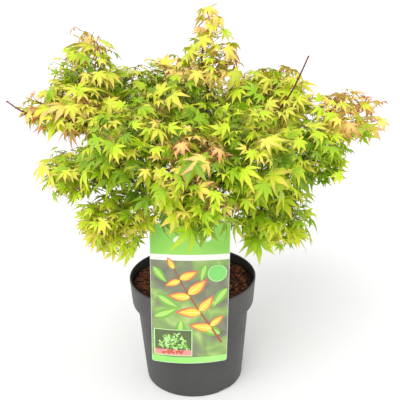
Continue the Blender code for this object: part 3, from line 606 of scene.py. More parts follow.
class Batch(Bodies):
    """Bodies that become one piece, in which each face has one of several looks."""

    def __init__(self, *looks):
        super().__init__()
        self.looks, self.face_looks = looks, []

    def add(self, points, faces, look=0):
        """look is the place of one look, or one such place for each face."""
        super().add(points, faces)
        self.face_looks.extend([look] * len(faces) if isinstance(look, int) else look)

    def piece(self, name, slot, *nodes, smooth=True):
        """Makes the piece, which stands for these nodes of the solids."""
        mesh = new_mesh(name, self.points, self.faces)
        for look in self.looks:
            mesh.materials.append(look)
        mesh.polygons.foreach_set("material_index", self.face_looks)
        if smooth:
            mesh.shade_smooth()
        made = placed(name, mesh)
        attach(made, "root")
        if nodes:
            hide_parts(*nodes)
        return made


def turned(profile, segments):
    """Points and faces of a closed body turned round Z. The profile runs from the axis at the
    bottom, outwards and up, and back to the axis at the top."""
    points = [Vector((0, 0, profile[0][1]))]
    for radius, height in profile[1:-1]:
        for k in range(segments):
            turn = 2 * math.pi * k / segments
            points.append(Vector((radius * math.cos(turn), radius * math.sin(turn), height)))
    points.append(Vector((0, 0, profile[-1][1])))
    top = len(points) - 1
    faces = [tuple(v + 1 for v in face) for face in ring_faces(len(profile) - 2, segments)]
    for k in range(segments):
        after = (k + 1) % segments
        faces.append((0, 1 + after, 1 + k))
        faces.append((top - segments + k, top - segments + after, top))
    return points, faces


def tube(path, radii, sides, relief=None):
    """Points and faces of a closed tube along a path, with no twist from ring to ring.
    relief gives what is added to the radius at a ring, a turn round it and a place in space."""
    points = []
    side = None
    for i, (centre, radius) in enumerate(zip(path, radii)):
        along = path[min(i + 1, len(path) - 1)] - path[max(i - 1, 0)]
        along.normalize()
        if side is None:
            side = along.orthogonal().normalized()
        side = (side - along * side.dot(along)).normalized()
        other = along.cross(side)
        for k in range(sides):
            turn = 2 * math.pi * k / sides
            outwards = side * math.cos(turn) + other * math.sin(turn)
            reach = radius
            if relief:
                reach += relief(i, turn, centre + outwards * radius)
            points.append(centre + outwards * reach)
    return points, ring_faces(len(path), sides) + end_faces(len(path), sides)


def curve(start, start_pull, end, end_pull, count):
    """Points along a cubic curve. The pulls are its handles, as vectors from its ends."""
    found = []
    for i in range(count):
        t = i / (count - 1)
        u = 1 - t
        near = start * u**3 + (start + start_pull) * (3 * u * u * t)
        found.append(near + (end + end_pull) * (3 * u * t * t) + end * t**3)
    return found


def smoothed(path, radii, step):
    """The path and radii along a smooth curve through the same points, in steps of a length."""
    line, sizes = [], []
    last = len(path) - 1
    for i in range(last):
        before, start, end, after = (path[max(0, min(last, i + k))] for k in (-1, 0, 1, 2))
        count = max(1, round((end - start).length / step))
        pull, arrive = (end - before) / 6, (start - after) / 6
        for k, point in enumerate(curve(start, pull, end, arrive, count + 1)[:count]):
            line.append(point)
            sizes.append(radii[i] + (radii[i + 1] - radii[i]) * k / count)
    return line + [path[-1]], sizes + [radii[-1]]


def apply_cut(target, points, faces):
    """Cuts a closed body out of an object."""
    cutter = placed("cutter", new_mesh("cutter", points, faces))
    change = target.modifiers.new("cut", "BOOLEAN")
    change.operation = "DIFFERENCE"
    change.solver = "MANIFOLD"
    change.object = cutter
    bpy.context.view_layer.update()
    graph = bpy.context.evaluated_depsgraph_get()
    result = bpy.data.meshes.new_from_object(target.evaluated_get(graph))
    target.modifiers.clear()
    target.data = result
    bpy.data.meshes.remove(cutter.data)


# --- trunk and boughs ---------------------------------------------------------------------
def mass_frame(name):
    """The centre of a mass, its three axes as rows, and its half sizes along them."""
    degrees, reach, height, *half_sizes = MASSES[name]
    turn = math.radians(degrees)
    outwards = np.array((math.cos(turn), math.sin(turn), 0))
    sideways = np.array((-math.sin(turn), math.cos(turn), 0))
    centre = outwards * reach + np.array((0, 0, height))
    return centre, np.array((outwards, sideways, (0, 0, 1))), np.array(half_sizes)


def crooked(path, rng):
    """The path with its inner points moved a little, as a twig turns at each node."""
    moved = [p + Vector(rng.uniform(-1, 1, 3)) * LIMB_CROOK for p in path[1:-1]]
    return [path[0], *moved, path[-1]]


def point_along(path, share):
    """The point and direction at a share of the way along a path."""
    place = share * (len(path) - 1)
    i = min(int(place), len(path) - 2)
    return path[i].lerp(path[i + 1], place - i), (path[i + 1] - path[i]).normalized()


def trunk_path():
    """The line and radii of the trunk, from its flat foot to its fork."""
    rise = TRUNK_TIP - TRUNK_FOOT
    leave = Vector((*TRUNK_LEAN, rise.z / 3))
    path = curve(TRUNK_FOOT, leave, TRUNK_TIP, -rise / 3, TRUNK_RINGS)
    radii = []
    for p in path:
        up = p.z - TRUNK_FOOT.z
        taper = TRUNK_RADIUS + (TRUNK_TIP_RADIUS - TRUNK_RADIUS) * up / rise.z
        flare = (FLARE_RADIUS - TRUNK_RADIUS) * math.exp(-FLARE_FALL * up / FLARE_HEIGHT)
        radii.append(taper + flare)
    return path, radii


def bough_path(name, limbs, rng):
    """The line and radii of a bough, from inside its parent to the skin of its mass."""
    parent, share, base_radius = BOUGHS[name]
    start, along = point_along(limbs[parent][0], share)
    centre, axes, half_sizes = mass_frame(name)
    to_centre = Vector(centre) - start
    inwards = np.array(-to_centre.normalized())
    skin = 1 / np.linalg.norm(axes @ inwards / half_sizes)
    tip = Vector(centre + inwards * skin * BOUGH_ENTRY)
    length = (tip - start).length
    if share == 1.0:
        start = start + along * GAP
        side = Vector((0, 0, 0))
    else:
        side = (to_centre - along * to_centre.dot(along)).normalized()
    leave = (along + side * BOUGH_SPREAD).normalized() * length * BOUGH_PULLS[0]
    climb = (-to_centre.normalized() - Vector((0, 0, BOUGH_ARCH))).normalized()
    arrive = climb * length * BOUGH_PULLS[1]
    line = crooked(curve(start, leave, tip, arrive, LIMB_RINGS), rng)
    base = base_radius * MM
    radii = []
    for i in range(LIMB_RINGS):
        thinning = (i / (LIMB_RINGS - 1)) ** BOUGH_THINNING
        radii.append(base + (BOUGH_TIP_RADIUS - base) * thinning)
    return line, radii


def limb_lines():
    """The line and radii of the trunk and of each bough."""
    rng = np.random.default_rng(SEED + 1)
    limbs = {"trunk": trunk_path()}
    for name in BOUGHS:
        limbs["bough_" + name] = bough_path(name, limbs, rng)
    return limbs


def bark_relief(place, depth):
    """What the furrows of the bark add to a limb's radius."""
    stretched = Vector((place.x, place.y, place.z * BARK_STRETCH))
    rough = noise.noise(stretched * BARK_CELLS) * depth
    return rough + noise.noise(place * FINE_BARK_CELLS) * depth * FINE_BARK_SHARE


def trunk_relief(i, turn, place):
    """What the bark and the roots at its foot add to the trunk's radius."""
    up = i * TRUNK_STEP / FLARE_HEIGHT
    root = ROOT_DEPTH * FLARE_RADIUS * math.cos(ROOTS * turn) * math.exp(-ROOT_FALL * up)
    return bark_relief(place, TRUNK_BARK_DEPTH) + root


def top_relief(i, turn, place):
    """What the bark and its nodes add to the radius of the bough that goes on from the trunk."""
    node = NODE_RISE if i and i % NODE_RINGS == 0 else 0.0
    return bark_relief(place, BOUGH_BARK_DEPTH) + node


def bough_relief(i, turn, place):
    """The same for a bough that springs from the side of its parent, with a collar there."""
    return top_relief(i, turn, place) + COLLAR_RISE * math.exp(-i * BOUGH_STEP / COLLAR_LENGTH)


def make_limbs(limbs, bark):
    """The trunk and boughs as one piece. A bough starts inside its parent, and the top one a
    little way down the trunk's end."""
    batch = Batch(bark)
    for name, (path, radii) in limbs.items():
        if name == "trunk":
            line, sizes = smoothed(path, radii, TRUNK_STEP)
            points, faces = tube(line, sizes, TRUNK_MESH_SIDES, trunk_relief)
            for point in points[:TRUNK_MESH_SIDES]:
                point.z = TRUNK_FOOT.z
        else:
            line, sizes = smoothed(path, radii, BOUGH_STEP)
            relief = bough_relief
            if name == "bough_top":
                line = [line[0] - (line[1] - line[0]).normalized() * STEM_ROOT] + line
                sizes = [TRUNK_TIP_RADIUS] + sizes
                relief = top_relief
            points, faces = tube(line, sizes, BOUGH_MESH_SIDES, relief)
        batch.add(points, faces)
    return batch.piece("bark_limbs", "bark", *limbs)


# --- growth of the foliage ----------------------------------------------------------------
class Space:
    """The space of one mass: an ellipsoid that may be narrower at its top, inside the cell of
    the crown that is nearer to it than to the other masses."""

    def __init__(self, name):
        self.centre, self.axes, self.half_sizes = mass_frame(name)
        self.taper = TAPERS.get(name, 0.0)
        normals, limits = [], []
        own = np.prod(self.half_sizes) ** (2 / 3)
        for other in MASSES:
            if other == name:
                continue
            centre, _, half_sizes = mass_frame(other)
            towards = centre - self.centre
            apart = np.linalg.norm(towards)
            share = 0.5 + (own - np.prod(half_sizes) ** (2 / 3)) / (2 * apart**2)
            normal = towards / apart
            normals.append(normal)
            limits.append(normal @ self.centre + share * apart - CELL_MARGIN)
        self.normals, self.limits = np.array(normals), np.array(limits)

    def holds(self, points, slack=0.0, edge=1.0):
        """Whether every point is in the cell, give or take the slack, and in the ellipsoid, whose
        half sizes are scaled by the edge."""
        points = np.atleast_2d(points)
        if (points @ self.normals.T > self.limits + slack).any():
            return False
        scaled = (points - self.centre) @ self.axes.T / self.half_sizes
        scaled[:, :2] /= 1 - self.taper * scaled[:, 2:].clip(-1, 1)
        return bool((np.linalg.norm(scaled, axis=1) <= edge).all())

    def draw(self, rng, reach):
        """A random point of the part of the space where twigs end. It lies high in the space,
        because leaves hang from the twigs."""
        step = rng.normal(size=3)
        step *= rng.uniform(*SITE_SHARES) ** SITE_POWER / np.linalg.norm(step)
        step = step * reach + SITE_RISE
        step[:2] *= 1 - self.taper * step[2]
        return self.centre + (step * self.half_sizes) @ self.axes


def spread_sites(space, rng, sites, count, reach):
    """Adds points spread evenly through a space: each is the furthest of some drawn candidates
    from those already placed."""
    wanted = len(sites) + count
    while len(sites) < wanted:
        drawn = [space.draw(rng, reach) for _ in range(CANDIDATES)]
        held = [point for point in drawn if space.holds(point)]
        if held:
            sites.append(max(held, key=lambda p: min(np.linalg.norm(p - s) for s in sites)))


class Twig:
    """A twig from a node of another, or of the stem, to its tip."""

    def __init__(self, path, parent, parent_place):
        self.path = path
        self.parent, self.parent_place = parent, parent_place
        self.feeds = [1] * len(path)  # how many tips lie beyond each point

    @property
    def length(self):
        return sum((b - a).length for a, b in zip(self.path, self.path[1:]))

    def count_tip(self):
        """Tells the twigs that lead here that they feed one more tip."""
        twig, place = self.parent, self.parent_place
        while twig:
            for i in range(place + 1):
                twig.feeds[i] += 1
            twig, place = twig.parent, twig.parent_place

    def radii(self):
        return [SHOOT_RADIUS * feeds**PIPE_POWER for feeds in self.feeds]


def is_free(points, faces, keep_clear):
    """Whether a body misses all that foliage has to keep clear of."""
    return not BVHTree.FromPolygons(points, faces).overlap(keep_clear)


def grow_twigs(root, nodes, sites, keep_clear):
    """Joins the sites to the nodes, nearest to the root first. Each twig starts from the node
    that makes the shortest way and leaves it free, and bends off in that node's direction."""
    twigs = []
    for site in sorted(sites, key=lambda s: np.linalg.norm(s - np.array(root))):
        site = Vector(site)
        nodes.sort(key=lambda node: (site - node[0]).length + PATH_WEIGHT * node[2])
        for start, heading, depth, parent, place in nodes:
            length = (site - start).length
            leave = heading * length * TWIG_PULLS[0]
            handles = start, leave, site, (start - site) * TWIG_PULLS[1]
            rough = curve(*handles, 3)
            body = tube(rough, [TWIG_RADIUS] * 3, 3)
            if length > SHORTEST_TWIG and is_free(*body, keep_clear):
                break
        else:
            continue
        twig = Twig(curve(*handles, TWIG_STEPS + 1), parent, place)
        twig.count_tip()
        twigs.append(twig)
        for i, share in ((1, 0.5), (2, 1.0)):
            heading = (rough[i] - rough[i - 1]).normalized()
            end = round(share * TWIG_STEPS)
            nodes.append((rough[i], heading, depth + length * share, twig, end))
    return twigs


def mass_stem(name, limbs):
    """Where a mass's stem starts, just clear of its bough's tip, and which way it runs."""
    path, _ = limbs["bough_" + name]
    direction = (path[-1] - path[-2]).normalized()
    return path[-1] + direction * GAP, direction


class Crowd(Bodies):
    """Bodies that the next one has to miss, and a search tree of their faces."""

    tree = None

    def plant(self):
        """Makes the search tree of all that was added."""
        self.tree = BVHTree.FromPolygons(self.points, self.faces)


def clearance_tree(limbs):
    """A search tree of all that foliage has to keep clear of, with the limbs grown by the
    clearance."""
    crowd = Crowd()
    for name, (path, radii) in limbs.items():
        sides = TRUNK_SIDES if name == "trunk" else LIMB_SIDES
        crowd.add(*tube(path, [radius + LIMB_CLEARANCE for radius in radii], sides))
    for name in ("pot", "soil", "label_card"):
        mesh = frame["nodes"][name].data
        crowd.add([v.co for v in mesh.vertices], [tuple(f.vertices) for f in mesh.polygons])
    crowd.plant()
    return crowd.tree


# --- leaves -------------------------------------------------------------------------------
LeafShape = namedtuple("LeafShape", "points faces zones rim rim_faces")
Leaf = namedtuple("Leaf", "shape palm basis size node leave tint")


def lobe_width(share, base):
    """Half the width of a lobe at a share of its length, from its base to its fine tip."""
    if share < WIDEST:
        return base + (1 - base) * math.sin(math.pi / 2 * share / WIDEST)
    rest = (share - WIDEST) / (1 - WIDEST)
    return (1 - rest) ** 1.3 * (1 + 0.25 * rest)


class LeafSketch:
    """The points and faces of a leaf of unit size, whose palm is at the origin."""

    def __init__(self, curl):
        self.curl = curl
        self.points, self.faces, self.zones = [(0.0, 0.0, 0.0)], [], []

    def place(self, angle, out, side, lift):
        """A point at a distance along a lobe and to one side of its midrib."""
        x = out * math.cos(angle) - side * math.sin(angle)
        y = out * math.sin(angle) + side * math.cos(angle)
        self.points.append((x, y, lift - self.curl * out * out))
        return len(self.points) - 1

    def face(self, zone, *corners):
        self.faces.append(corners)
        self.zones.append(list(ZONES).index(zone))

    def lobe(self, angle, length, notches, rng):
        """Adds a lobe between two notches, each a point and its distance out, and gives the
        point of its tip. A row of the lobe is its two edges with the two sides of the vein."""
        (right, right_out), (left, left_out) = notches
        root = LOBE_ROOT * min(right_out, left_out)
        width = LOBE_WIDTH * length * rng.uniform(*LOBE_FULLNESS)
        spread = (right_out + left_out) / 2 * math.sin(math.radians(LOBE_BASE_DEG))
        base = min(1.0, LOBE_BASE * spread / width)
        bend = rng.uniform(*LOBE_BEND) * length
        droop = rng.uniform(*LOBE_DROOP)
        vein = VEIN_WIDTH * length
        row = right, self.place(angle, root, -vein, 0), self.place(angle, root, vein, 0), left
        for k, zone in enumerate(("heart", "vein", "heart")):
            self.face(zone, 0, row[k], row[k + 1])
        for station in range(1, LOBE_STATIONS):
            share = station / LOBE_STATIONS
            out = root + (length - root) * share
            half = width * lobe_width(share, base) * (1 - TEETH * (station % 2))
            drift = bend * share**2
            sag = -droop * share**2 * length
            thin = min(vein * (1 - VEIN_THINNING * share), half * 0.5)
            steps = (-half, -thin, thin, half)
            lifts = (sag + FOLD * half, sag, sag, sag + FOLD * half)
            after = [self.place(angle, out, drift + a, b) for a, b in zip(steps, lifts)]
            zone = "blade" if share < FLANK_FROM else "flank" if share < TIP_FROM else "tip"
            zone = "heart" if station == 1 else zone
            for k, kind in enumerate((zone, "vein", zone)):
                self.face(kind, row[k], after[k], after[k + 1], row[k + 1])
            row = after
        tip = self.place(angle, length, bend, -droop * length)
        for k in range(3):
            self.face("tip", row[k], tip, row[k + 1])
        return tip


def leaf_shape(lobes, rng):
    """One leaf with its axis along X and its upper side towards Z, and the coarse star that
    stands for it where leaves are fitted together."""
    spread = [(-angle, length) for angle, length in reversed(lobes[1:])] + list(lobes)
    spread = [
        (math.radians(angle + rng.uniform(*LOBE_TURN_DEG)), length * rng.uniform(*LOBE_STRETCH))
        for angle, length in spread
    ]
    sketch = LeafSketch(rng.uniform(*CURL))
    notches = []
    for (angle, length), (next_angle, next_length) in zip(spread, spread[1:]):
        out = NOTCH * (NOTCH_SHARE + NOTCH_GROWTH * (length + next_length))
        notches.append((sketch.place((angle + next_angle) / 2, out, 0, NOTCH_LIFT), out))
    heel_turn = math.radians(HEEL_TURN_DEG)
    first = sketch.place(spread[0][0] - heel_turn, HEEL, 0, 0), HEEL
    last = sketch.place(spread[-1][0] + heel_turn, HEEL, 0, 0), HEEL
    notches = [first, *notches, last]
    star = [0]
    for i, (angle, length) in enumerate(spread):
        star += [notches[i][0], sketch.lobe(angle, length, notches[i : i + 2], rng)]
    star.append(last[0])
    rim = np.array([sketch.points[i] for i in star])
    rim_faces = [(0, i, i + 1) for i in range(1, len(rim) - 1)]
    return LeafShape(np.array(sketch.points), sketch.faces, sketch.zones, rim, rim_faces)


def leaf_pose(along, turn, droop, tilt, stalk):
    """The stalk, and the axis, side and normal of a leaf. Its stalk leaves the twig turned from
    the twig's own direction, and its blade hangs by the droop and is rolled by the tilt."""
    up = Vector((0, 0, 1))
    level = Vector((along.x, along.y, 0)).normalized()
    lead = level * math.cos(turn) + up.cross(level) * math.sin(turn)
    petiole = (lead + up * STALK_RISE).normalized() * stalk
    axis = lead * math.cos(droop) - up * math.sin(droop)
    normal = lead * math.sin(droop) + up * math.cos(droop)
    normal = (normal + axis.cross(normal) * math.tan(tilt)).normalized()
    return petiole, np.array((axis, normal.cross(axis), normal))


def leaf_nodes(twigs, spacing):
    """Where leaves stand, the twig's direction there and the side: a pair at each tip, and pairs
    spaced back along the twig."""
    for twig in twigs:
        along = (twig.path[-1] - twig.path[-2]).normalized()
        for side in (-1, 1):
            yield twig, twig.path[-1] - along * (TIP_INSET + PAIR_STEP * side) * MM, along, side
    for twig in twigs:
        count = int(twig.length / spacing)
        for k in range(1, count + 1):
            share = 1 - k * spacing / twig.length
            if share < LEAFLESS_SHARE:
                continue
            node, along = point_along(twig.path, share)
            for side in (-1, 1):
                yield twig, node + along * (PAIR_STEP * side * MM), along, side


def spray_tint(name, twig, rng):
    """The tint of the leaves of one twig, by how far out and how high in the crown it ends.
    Sprays deep inside get the dark tints, which are painted shade.
    """
    out = np.linalg.norm((np.array(twig.path[-1]) - CROWN_CENTRE) / CROWN_HALF_SIZES)
    palette = PALETTES[name]
    rise = (twig.path[-1].z - CROWN_CENTRE[2]) / CROWN_HALF_SIZES[2]
    share = (out - INSIDE) * OUTWARD_WEIGHT + rise * UPWARD_WEIGHT + rng.uniform(*TINT_SCATTER)
    return palette[max(0, min(len(palette) - 1, int(share * len(palette))))]


def nearby_tint(tint, rng):
    """The tint of one leaf: its spray's, or now and then the one before or after it."""
    order = list(TINTS)
    step = int(rng.choice((-1, 0, 1), p=TINT_STEP_ODDS))
    return order[max(0, min(len(order) - 1, order.index(tint) + step))]


def laid(leaf, points):
    """Points of a leaf of unit size where this leaf hangs."""
    return leaf.palm + points @ leaf.basis * leaf.size


def drawn_leaf(node, along, side, hang, ease, shapes, rng):
    """A leaf of no tint yet in a random pose at its node. With more ease it may stand further
    back and is smaller."""
    turn_to = LEAF_TURN_DEG[1] + LEAF_TURN_EASE_DEG * ease
    turn = side * math.radians(rng.uniform(LEAF_TURN_DEG[0], turn_to))
    droop = math.radians(rng.uniform(*LEAF_DROOP_DEG) + hang)
    size = LEAF_LENGTH[0] + (LEAF_LENGTH[1] - LEAF_LENGTH[0]) * rng.uniform() ** SIZE_SKEW
    size *= 1 - SIZE_EASE * ease
    stalk = rng.uniform(*STALK_LENGTH) * (1 - STALK_EASE * ease)
    shape = shapes[rng.integers(len(shapes))]
    tilt = rng.uniform(-LEAF_TILT, LEAF_TILT)
    petiole, basis = leaf_pose(along, turn, droop, tilt, stalk)
    return Leaf(shape, np.array(node + petiole), basis, size, node, petiole, None)


def hang_leaves(name, twigs, space, shapes, keep_clear, finished, rng):
    """Leaves on the twigs of a mass. Each takes the pose that leaves it furthest from the others,
    of some that fit the space and miss the limbs, the twigs and the other leaves."""
    own = Crowd()
    for twig in twigs:
        line = twig.path[::4]
        own.add(*tube(line, [SHOOT_RADIUS * 2] * len(line), 3))
    own.plant()
    tints = {twig: spray_tint(name, twig, rng) for twig in twigs}
    places = list(leaf_nodes(twigs, WIDE_SPACING.get(name, LEAF_SPACING)))
    leaves, middles = [], np.zeros((len(places), 3))
    for twig, node, along, side in places:
        low = (space.centre[2] - node.z) / space.half_sizes[2]
        hang = LOW_DROOP_DEG * max(0.0, min(1.0, LOW_FROM + low))
        best, best_room, found = None, -1, 0
        edge = rng.uniform(*(SPIRE_EDGE if name == "top" else EDGE))
        for attempt in range(LEAF_TRIES):
            leaf = drawn_leaf(node, along, side, hang, attempt / LEAF_TRIES, shapes, rng)
            rim = laid(leaf, leaf.shape.rim)
            middle = leaf.palm + leaf.basis[0] * (leaf.size / 2)
            out = np.linalg.norm((middle - space.centre) @ space.axes.T / space.half_sizes)
            room = LEAF_LENGTH[1]
            if leaves:
                room = min(room, np.linalg.norm(middles[: len(leaves)] - middle, axis=1).min())
            room *= 1 + OUTER_WEIGHT * out
            if room < best_room or not space.holds(rim, CELL_SLACK, edge):
                continue
            blade = BVHTree.FromPolygons(rim.tolist(), leaf.shape.rim_faces)
            if blade.overlap(keep_clear) or blade.overlap(own.tree):
                continue
            if finished.tree and blade.overlap(finished.tree):
                continue
            leaf = leaf._replace(tint=nearby_tint(tints[twig], rng))
            best, best_room, found = (leaf, rim, middle), room, found + 1
            if found == LEAF_CHOICES:
                break
        if best:
            leaf, rim, middles[len(leaves)] = best
            leaves.append(leaf)
            own.add(rim.tolist(), leaf.shape.rim_faces)
            own.plant()
    finished.add(own.points, own.faces)
    finished.plant()
    return leaves


def leaf_piece(name, leaves, looks):
    """The blades of one mass as one piece."""
    used = sorted({leaf.tint for leaf in leaves}, key=list(TINTS).index)
    batch = Batch(*(look for tint in used for look in looks[tint]))
    for leaf in leaves:
        first = used.index(leaf.tint) * len(ZONES)
        zones = [first + zone for zone in leaf.shape.zones]
        batch.add(laid(leaf, leaf.shape.points).tolist(), leaf.shape.faces, zones)
    return batch.piece("leaves_" + name, "leaf_green", "foliage_" + name)


def stalk_piece(name, leaves, looks):
    """The stalks of one mass's leaves as one piece, red on the young leaves."""
    batch = Batch(*looks)
    radii = [STALK_RADIUS * width for width in np.linspace(*STALK_WIDTHS, STALK_RINGS)]
    radii[0] *= STALK_FOOT
    for leaf in leaves:
        leave = leaf.leave * STALK_PULLS[0]
        arrive = -Vector(leaf.basis[0]) * leaf.leave.length * STALK_PULLS[1]
        path = curve(leaf.node, leave, Vector(leaf.palm), arrive, STALK_RINGS)
        batch.add(*tube(path, radii, 4), 1 if leaf.tint in RED_STALKS else 0)
    return batch.piece("stalks_" + name, "leaf_green", "foliage_" + name)


def bud(place, direction, length):
    """Points and faces of a pointed bud."""
    shares = ((0.0, 0.55), (0.25, 1.0), (0.6, 0.8), (1.0, 0.12))
    path = [place + direction * (share * length) for share, _ in shares]
    return tube(path, [0.3 * length * width for _, width in shares], 6)


def bare_shoot(batch, twigs, place, tip):
    """A long shoot with no leaves, from the twig that ends nearest to a place, with two buds at
    its tip and a ring with a pair of buds at each node."""
    twig = min(twigs, key=lambda t: (t.path[-1] - place).length)
    end, before = twig.path[-1], twig.path[-2]
    start = end + (before - end).normalized() * 2 * TWIG_RADIUS
    reach = tip - start
    sag = Vector((0, 0, -BARE_SAG * reach.length))
    rough = [start, start + reach * 0.5 + sag, tip - reach.normalized() * TIP_BUDS]
    path, radii = smoothed(rough, BARE_RADII, BARE_STEP)
    batch.add(*tube(path, radii, 8), 1)
    run = (path[-1] - path[-3]).normalized()
    side = run.orthogonal().normalized()
    for lean, length in ((0.25, 4.2 * MM), (-0.3, 3.6 * MM)):
        batch.add(*bud(path[-1] - run * 0.5 * MM, (run + side * lean).normalized(), length), 3)
    for k in range(NODE_STEPS, len(path) - 4, NODE_STEPS):
        run = (path[k + 1] - path[k - 1]).normalized()
        side = run.orthogonal().normalized()
        side.rotate(Matrix.Rotation(k, 3, run))
        ring = [path[k] - run * 0.6 * MM, path[k] + run * 0.6 * MM]
        batch.add(*tube(ring, [NODE_RADIUS] * 2, 8), 1)
        for sign in (-1, 1):
            lean = (run * 0.8 + side * sign).normalized()
            batch.add(*bud(path[k] + side * sign * 0.7 * MM, lean, 2.6 * MM), 3)


def twig_piece(name, limbs, twigs, looks):
    """The wood of one mass as one piece: its stem, its twigs and a bare shoot if it has one."""
    batch = Batch(*looks)
    root, run = mass_stem(name, limbs)
    stem = [root + run * place for place in (-STEM_ROOT, STEM_LENGTH / 2, STEM_LENGTH)]
    radii = [BOUGH_TIP_RADIUS, BOUGH_TIP_RADIUS, SHOOT_RADIUS * len(twigs) ** PIPE_POWER]
    batch.add(*tube(stem, radii, 9), 0)
    for twig in twigs:
        radii = twig.radii()
        radii[0] *= TWIG_FOOT
        thick = radii[len(radii) // 2]
        look = 0 if thick > BROWN_FROM else 1 if thick > RED_FROM else 2
        batch.add(*tube(twig.path, radii, 6), look)
    if name in BARE_SHOOTS:
        bare_shoot(batch, twigs, *BARE_SHOOTS[name])
    return batch.piece("twigs_" + name, "bark", "foliage_" + name)


def make_foliage(limbs):
    """Every mass, grown one after another so that leaves of neighbours miss each other. A leaf
    whose curled lobes meet the limbs, pot, soil or card is left out."""
    keep_clear = clearance_tree(limbs)
    shape_rng = np.random.default_rng(SEED + 2)
    shapes = [leaf_shape(lobes, shape_rng) for lobes in LEAF_SHAPES]
    blades = leaf_looks()
    stalks = [plain_look("stalk_green", (168, 176, 74)), plain_look("stalk_red", (176, 84, 66))]
    wood = [
        plain_look("twig_brown", (96, 68, 50), 0.7),
        plain_look("twig_red", (112, 58, 46), 0.6),
        plain_look("twig_young", (140, 92, 58), 0.55),
        plain_look("bud_red", (150, 62, 60), 0.5),
    ]
    finished = Crowd()
    for index, name in enumerate(MASSES):
        rng = np.random.default_rng(SEED + 100 + index)
        space = Space(name)
        root, direction = mass_stem(name, limbs)
        fork = root + direction * (STEM_LENGTH - TWIG_RADIUS)
        sites = [np.array(root)]
        spread_sites(space, rng, sites, MAIN_SITES, MAIN_REACH)
        spread_sites(space, rng, sites, OPEN_MASSES.get(name, FINE_SITES), FINE_REACH)
        nodes = [(Vector(fork), direction, 0.0, None, 0)]
        twigs = grow_twigs(root, nodes, sites[1 : 1 + MAIN_SITES], keep_clear)
        twigs += grow_twigs(root, nodes, sites[1 + MAIN_SITES :], keep_clear)
        leaves = [
            leaf
            for leaf in hang_leaves(name, twigs, space, shapes, keep_clear, finished, rng)
            if is_free(laid(leaf, leaf.shape.points).tolist(), leaf.shape.faces, keep_clear)
        ]
        leaf_piece(name, leaves, blades)
        stalk_piece(name, leaves, stalks)
        twig_piece(name, limbs, twigs, wood)
        print("foliage", name, len(twigs), "twigs", len(leaves), "leaves")


# --- pot and soil -------------------------------------------------------------------------
def pot_inner_radius(height):
    """The radius of the pot's inner wall at a height."""
    outer = (
        (0.0, BASE_RADIUS),
        (NECK_HEIGHT, NECK_RADIUS),
        (COLLAR_FOOT_HEIGHT, COLLAR_FOOT_RADIUS),
        (POT_HEIGHT, RIM_RADIUS),
    )
    return float(np.interp(height, *zip(*outer))) - POT_WALL


def arc(centre_radius, centre_height, radius, start_deg, end_deg, count=5):
    """Points of a profile round a corner."""
    found = []
    for i in range(count):
        turn = math.radians(start_deg + (end_deg - start_deg) * i / (count - 1))
        out, up = radius * math.cos(turn), radius * math.sin(turn)
        found.append((centre_radius + out, centre_height + up))
    return found


def pot_step(inset):
    """The step between the body and the collar, as a smooth bend, from the bottom up."""
    found = []
    for i in range(9):
        share = i / 8
        ease = share * share * (3 - 2 * share)
        height = NECK_HEIGHT + (COLLAR_FOOT_HEIGHT - NECK_HEIGHT) * share
        found.append((NECK_RADIUS + (COLLAR_FOOT_RADIUS - NECK_RADIUS) * ease - inset, height))
    return found


def make_pot(look):
    half_rim = RIM_WALL / 2
    profile = [(0, 0), (BASE_RADIUS - BASE_FLAT, 0)]
    profile += arc(BASE_RADIUS - BASE_ROUNDING, BASE_ROUNDING, BASE_ROUNDING, -90, 0)
    profile += [
        (BASE_RADIUS + (NECK_RADIUS - BASE_RADIUS) * share, NECK_HEIGHT * share)
        for share in (0.2, 0.4, 0.6, 0.8, 0.96)
    ]
    profile += pot_step(0)
    profile += [(RIM_RADIUS - RIM_BEAD, POT_HEIGHT - BAND_FOOT)]
    profile += [(RIM_RADIUS, POT_HEIGHT - BAND_EDGE)]
    profile += arc(RIM_RADIUS - half_rim, POT_HEIGHT - half_rim, half_rim, 0, 180, 9)
    inner = RIM_RADIUS - RIM_WALL
    profile += [(inner, POT_HEIGHT - INNER_EDGE)]
    profile += [(inner + INNER_STEP, POT_HEIGHT - INNER_FOOT)]
    profile += list(reversed(pot_step(POT_WALL)))
    profile += [(pot_inner_radius(BASE_PLATE), BASE_PLATE), (0, BASE_PLATE)]
    batch = Batch(look)
    batch.add(*turned(profile, POT_SEGMENTS))
    pot = batch.piece("plastic_pot", "pot_plastic", "pot")
    for k in range(DRAIN_HOLES):
        turn = 2 * math.pi * k / DRAIN_HOLES
        place = Vector((math.cos(turn), math.sin(turn), 0)) * DRAIN_RING_RADIUS
        path = [place + Vector((0, 0, z)) for z in (-CUT_OVERRUN, BASE_PLATE + CUT_OVERRUN)]
        apply_cut(pot, *tube(path, [DRAIN_HOLE_RADIUS] * 2, 32))
    for k in range(NOTCHES):
        apply_cut(pot, *notch(math.radians(FIRST_NOTCH_DEG) + 2 * math.pi * k / NOTCHES))
    pot.data.shade_smooth()
    pot.data.set_sharp_from_angle(angle=math.radians(38))


def notch(turn):
    """A block across the pot's bottom corner, whose top rises outwards."""
    outwards = Vector((math.cos(turn), math.sin(turn), 0))
    across = Vector((-math.sin(turn), math.cos(turn), 0))
    inner, outer = BASE_RADIUS - NOTCH_DEPTH, BASE_RADIUS + NOTCH_OVERRUN
    section = ((inner, -CUT_OVERRUN), (outer, -CUT_OVERRUN))
    section += ((outer, NOTCH_HEIGHT), (inner, NOTCH_END_HEIGHT))
    points = [
        outwards * r + across * (side * NOTCH_WIDTH / 2) + Vector((0, 0, z))
        for side in (1, -1)
        for r, z in section
    ]
    return points, ring_faces(2, 4) + end_faces(2, 4)


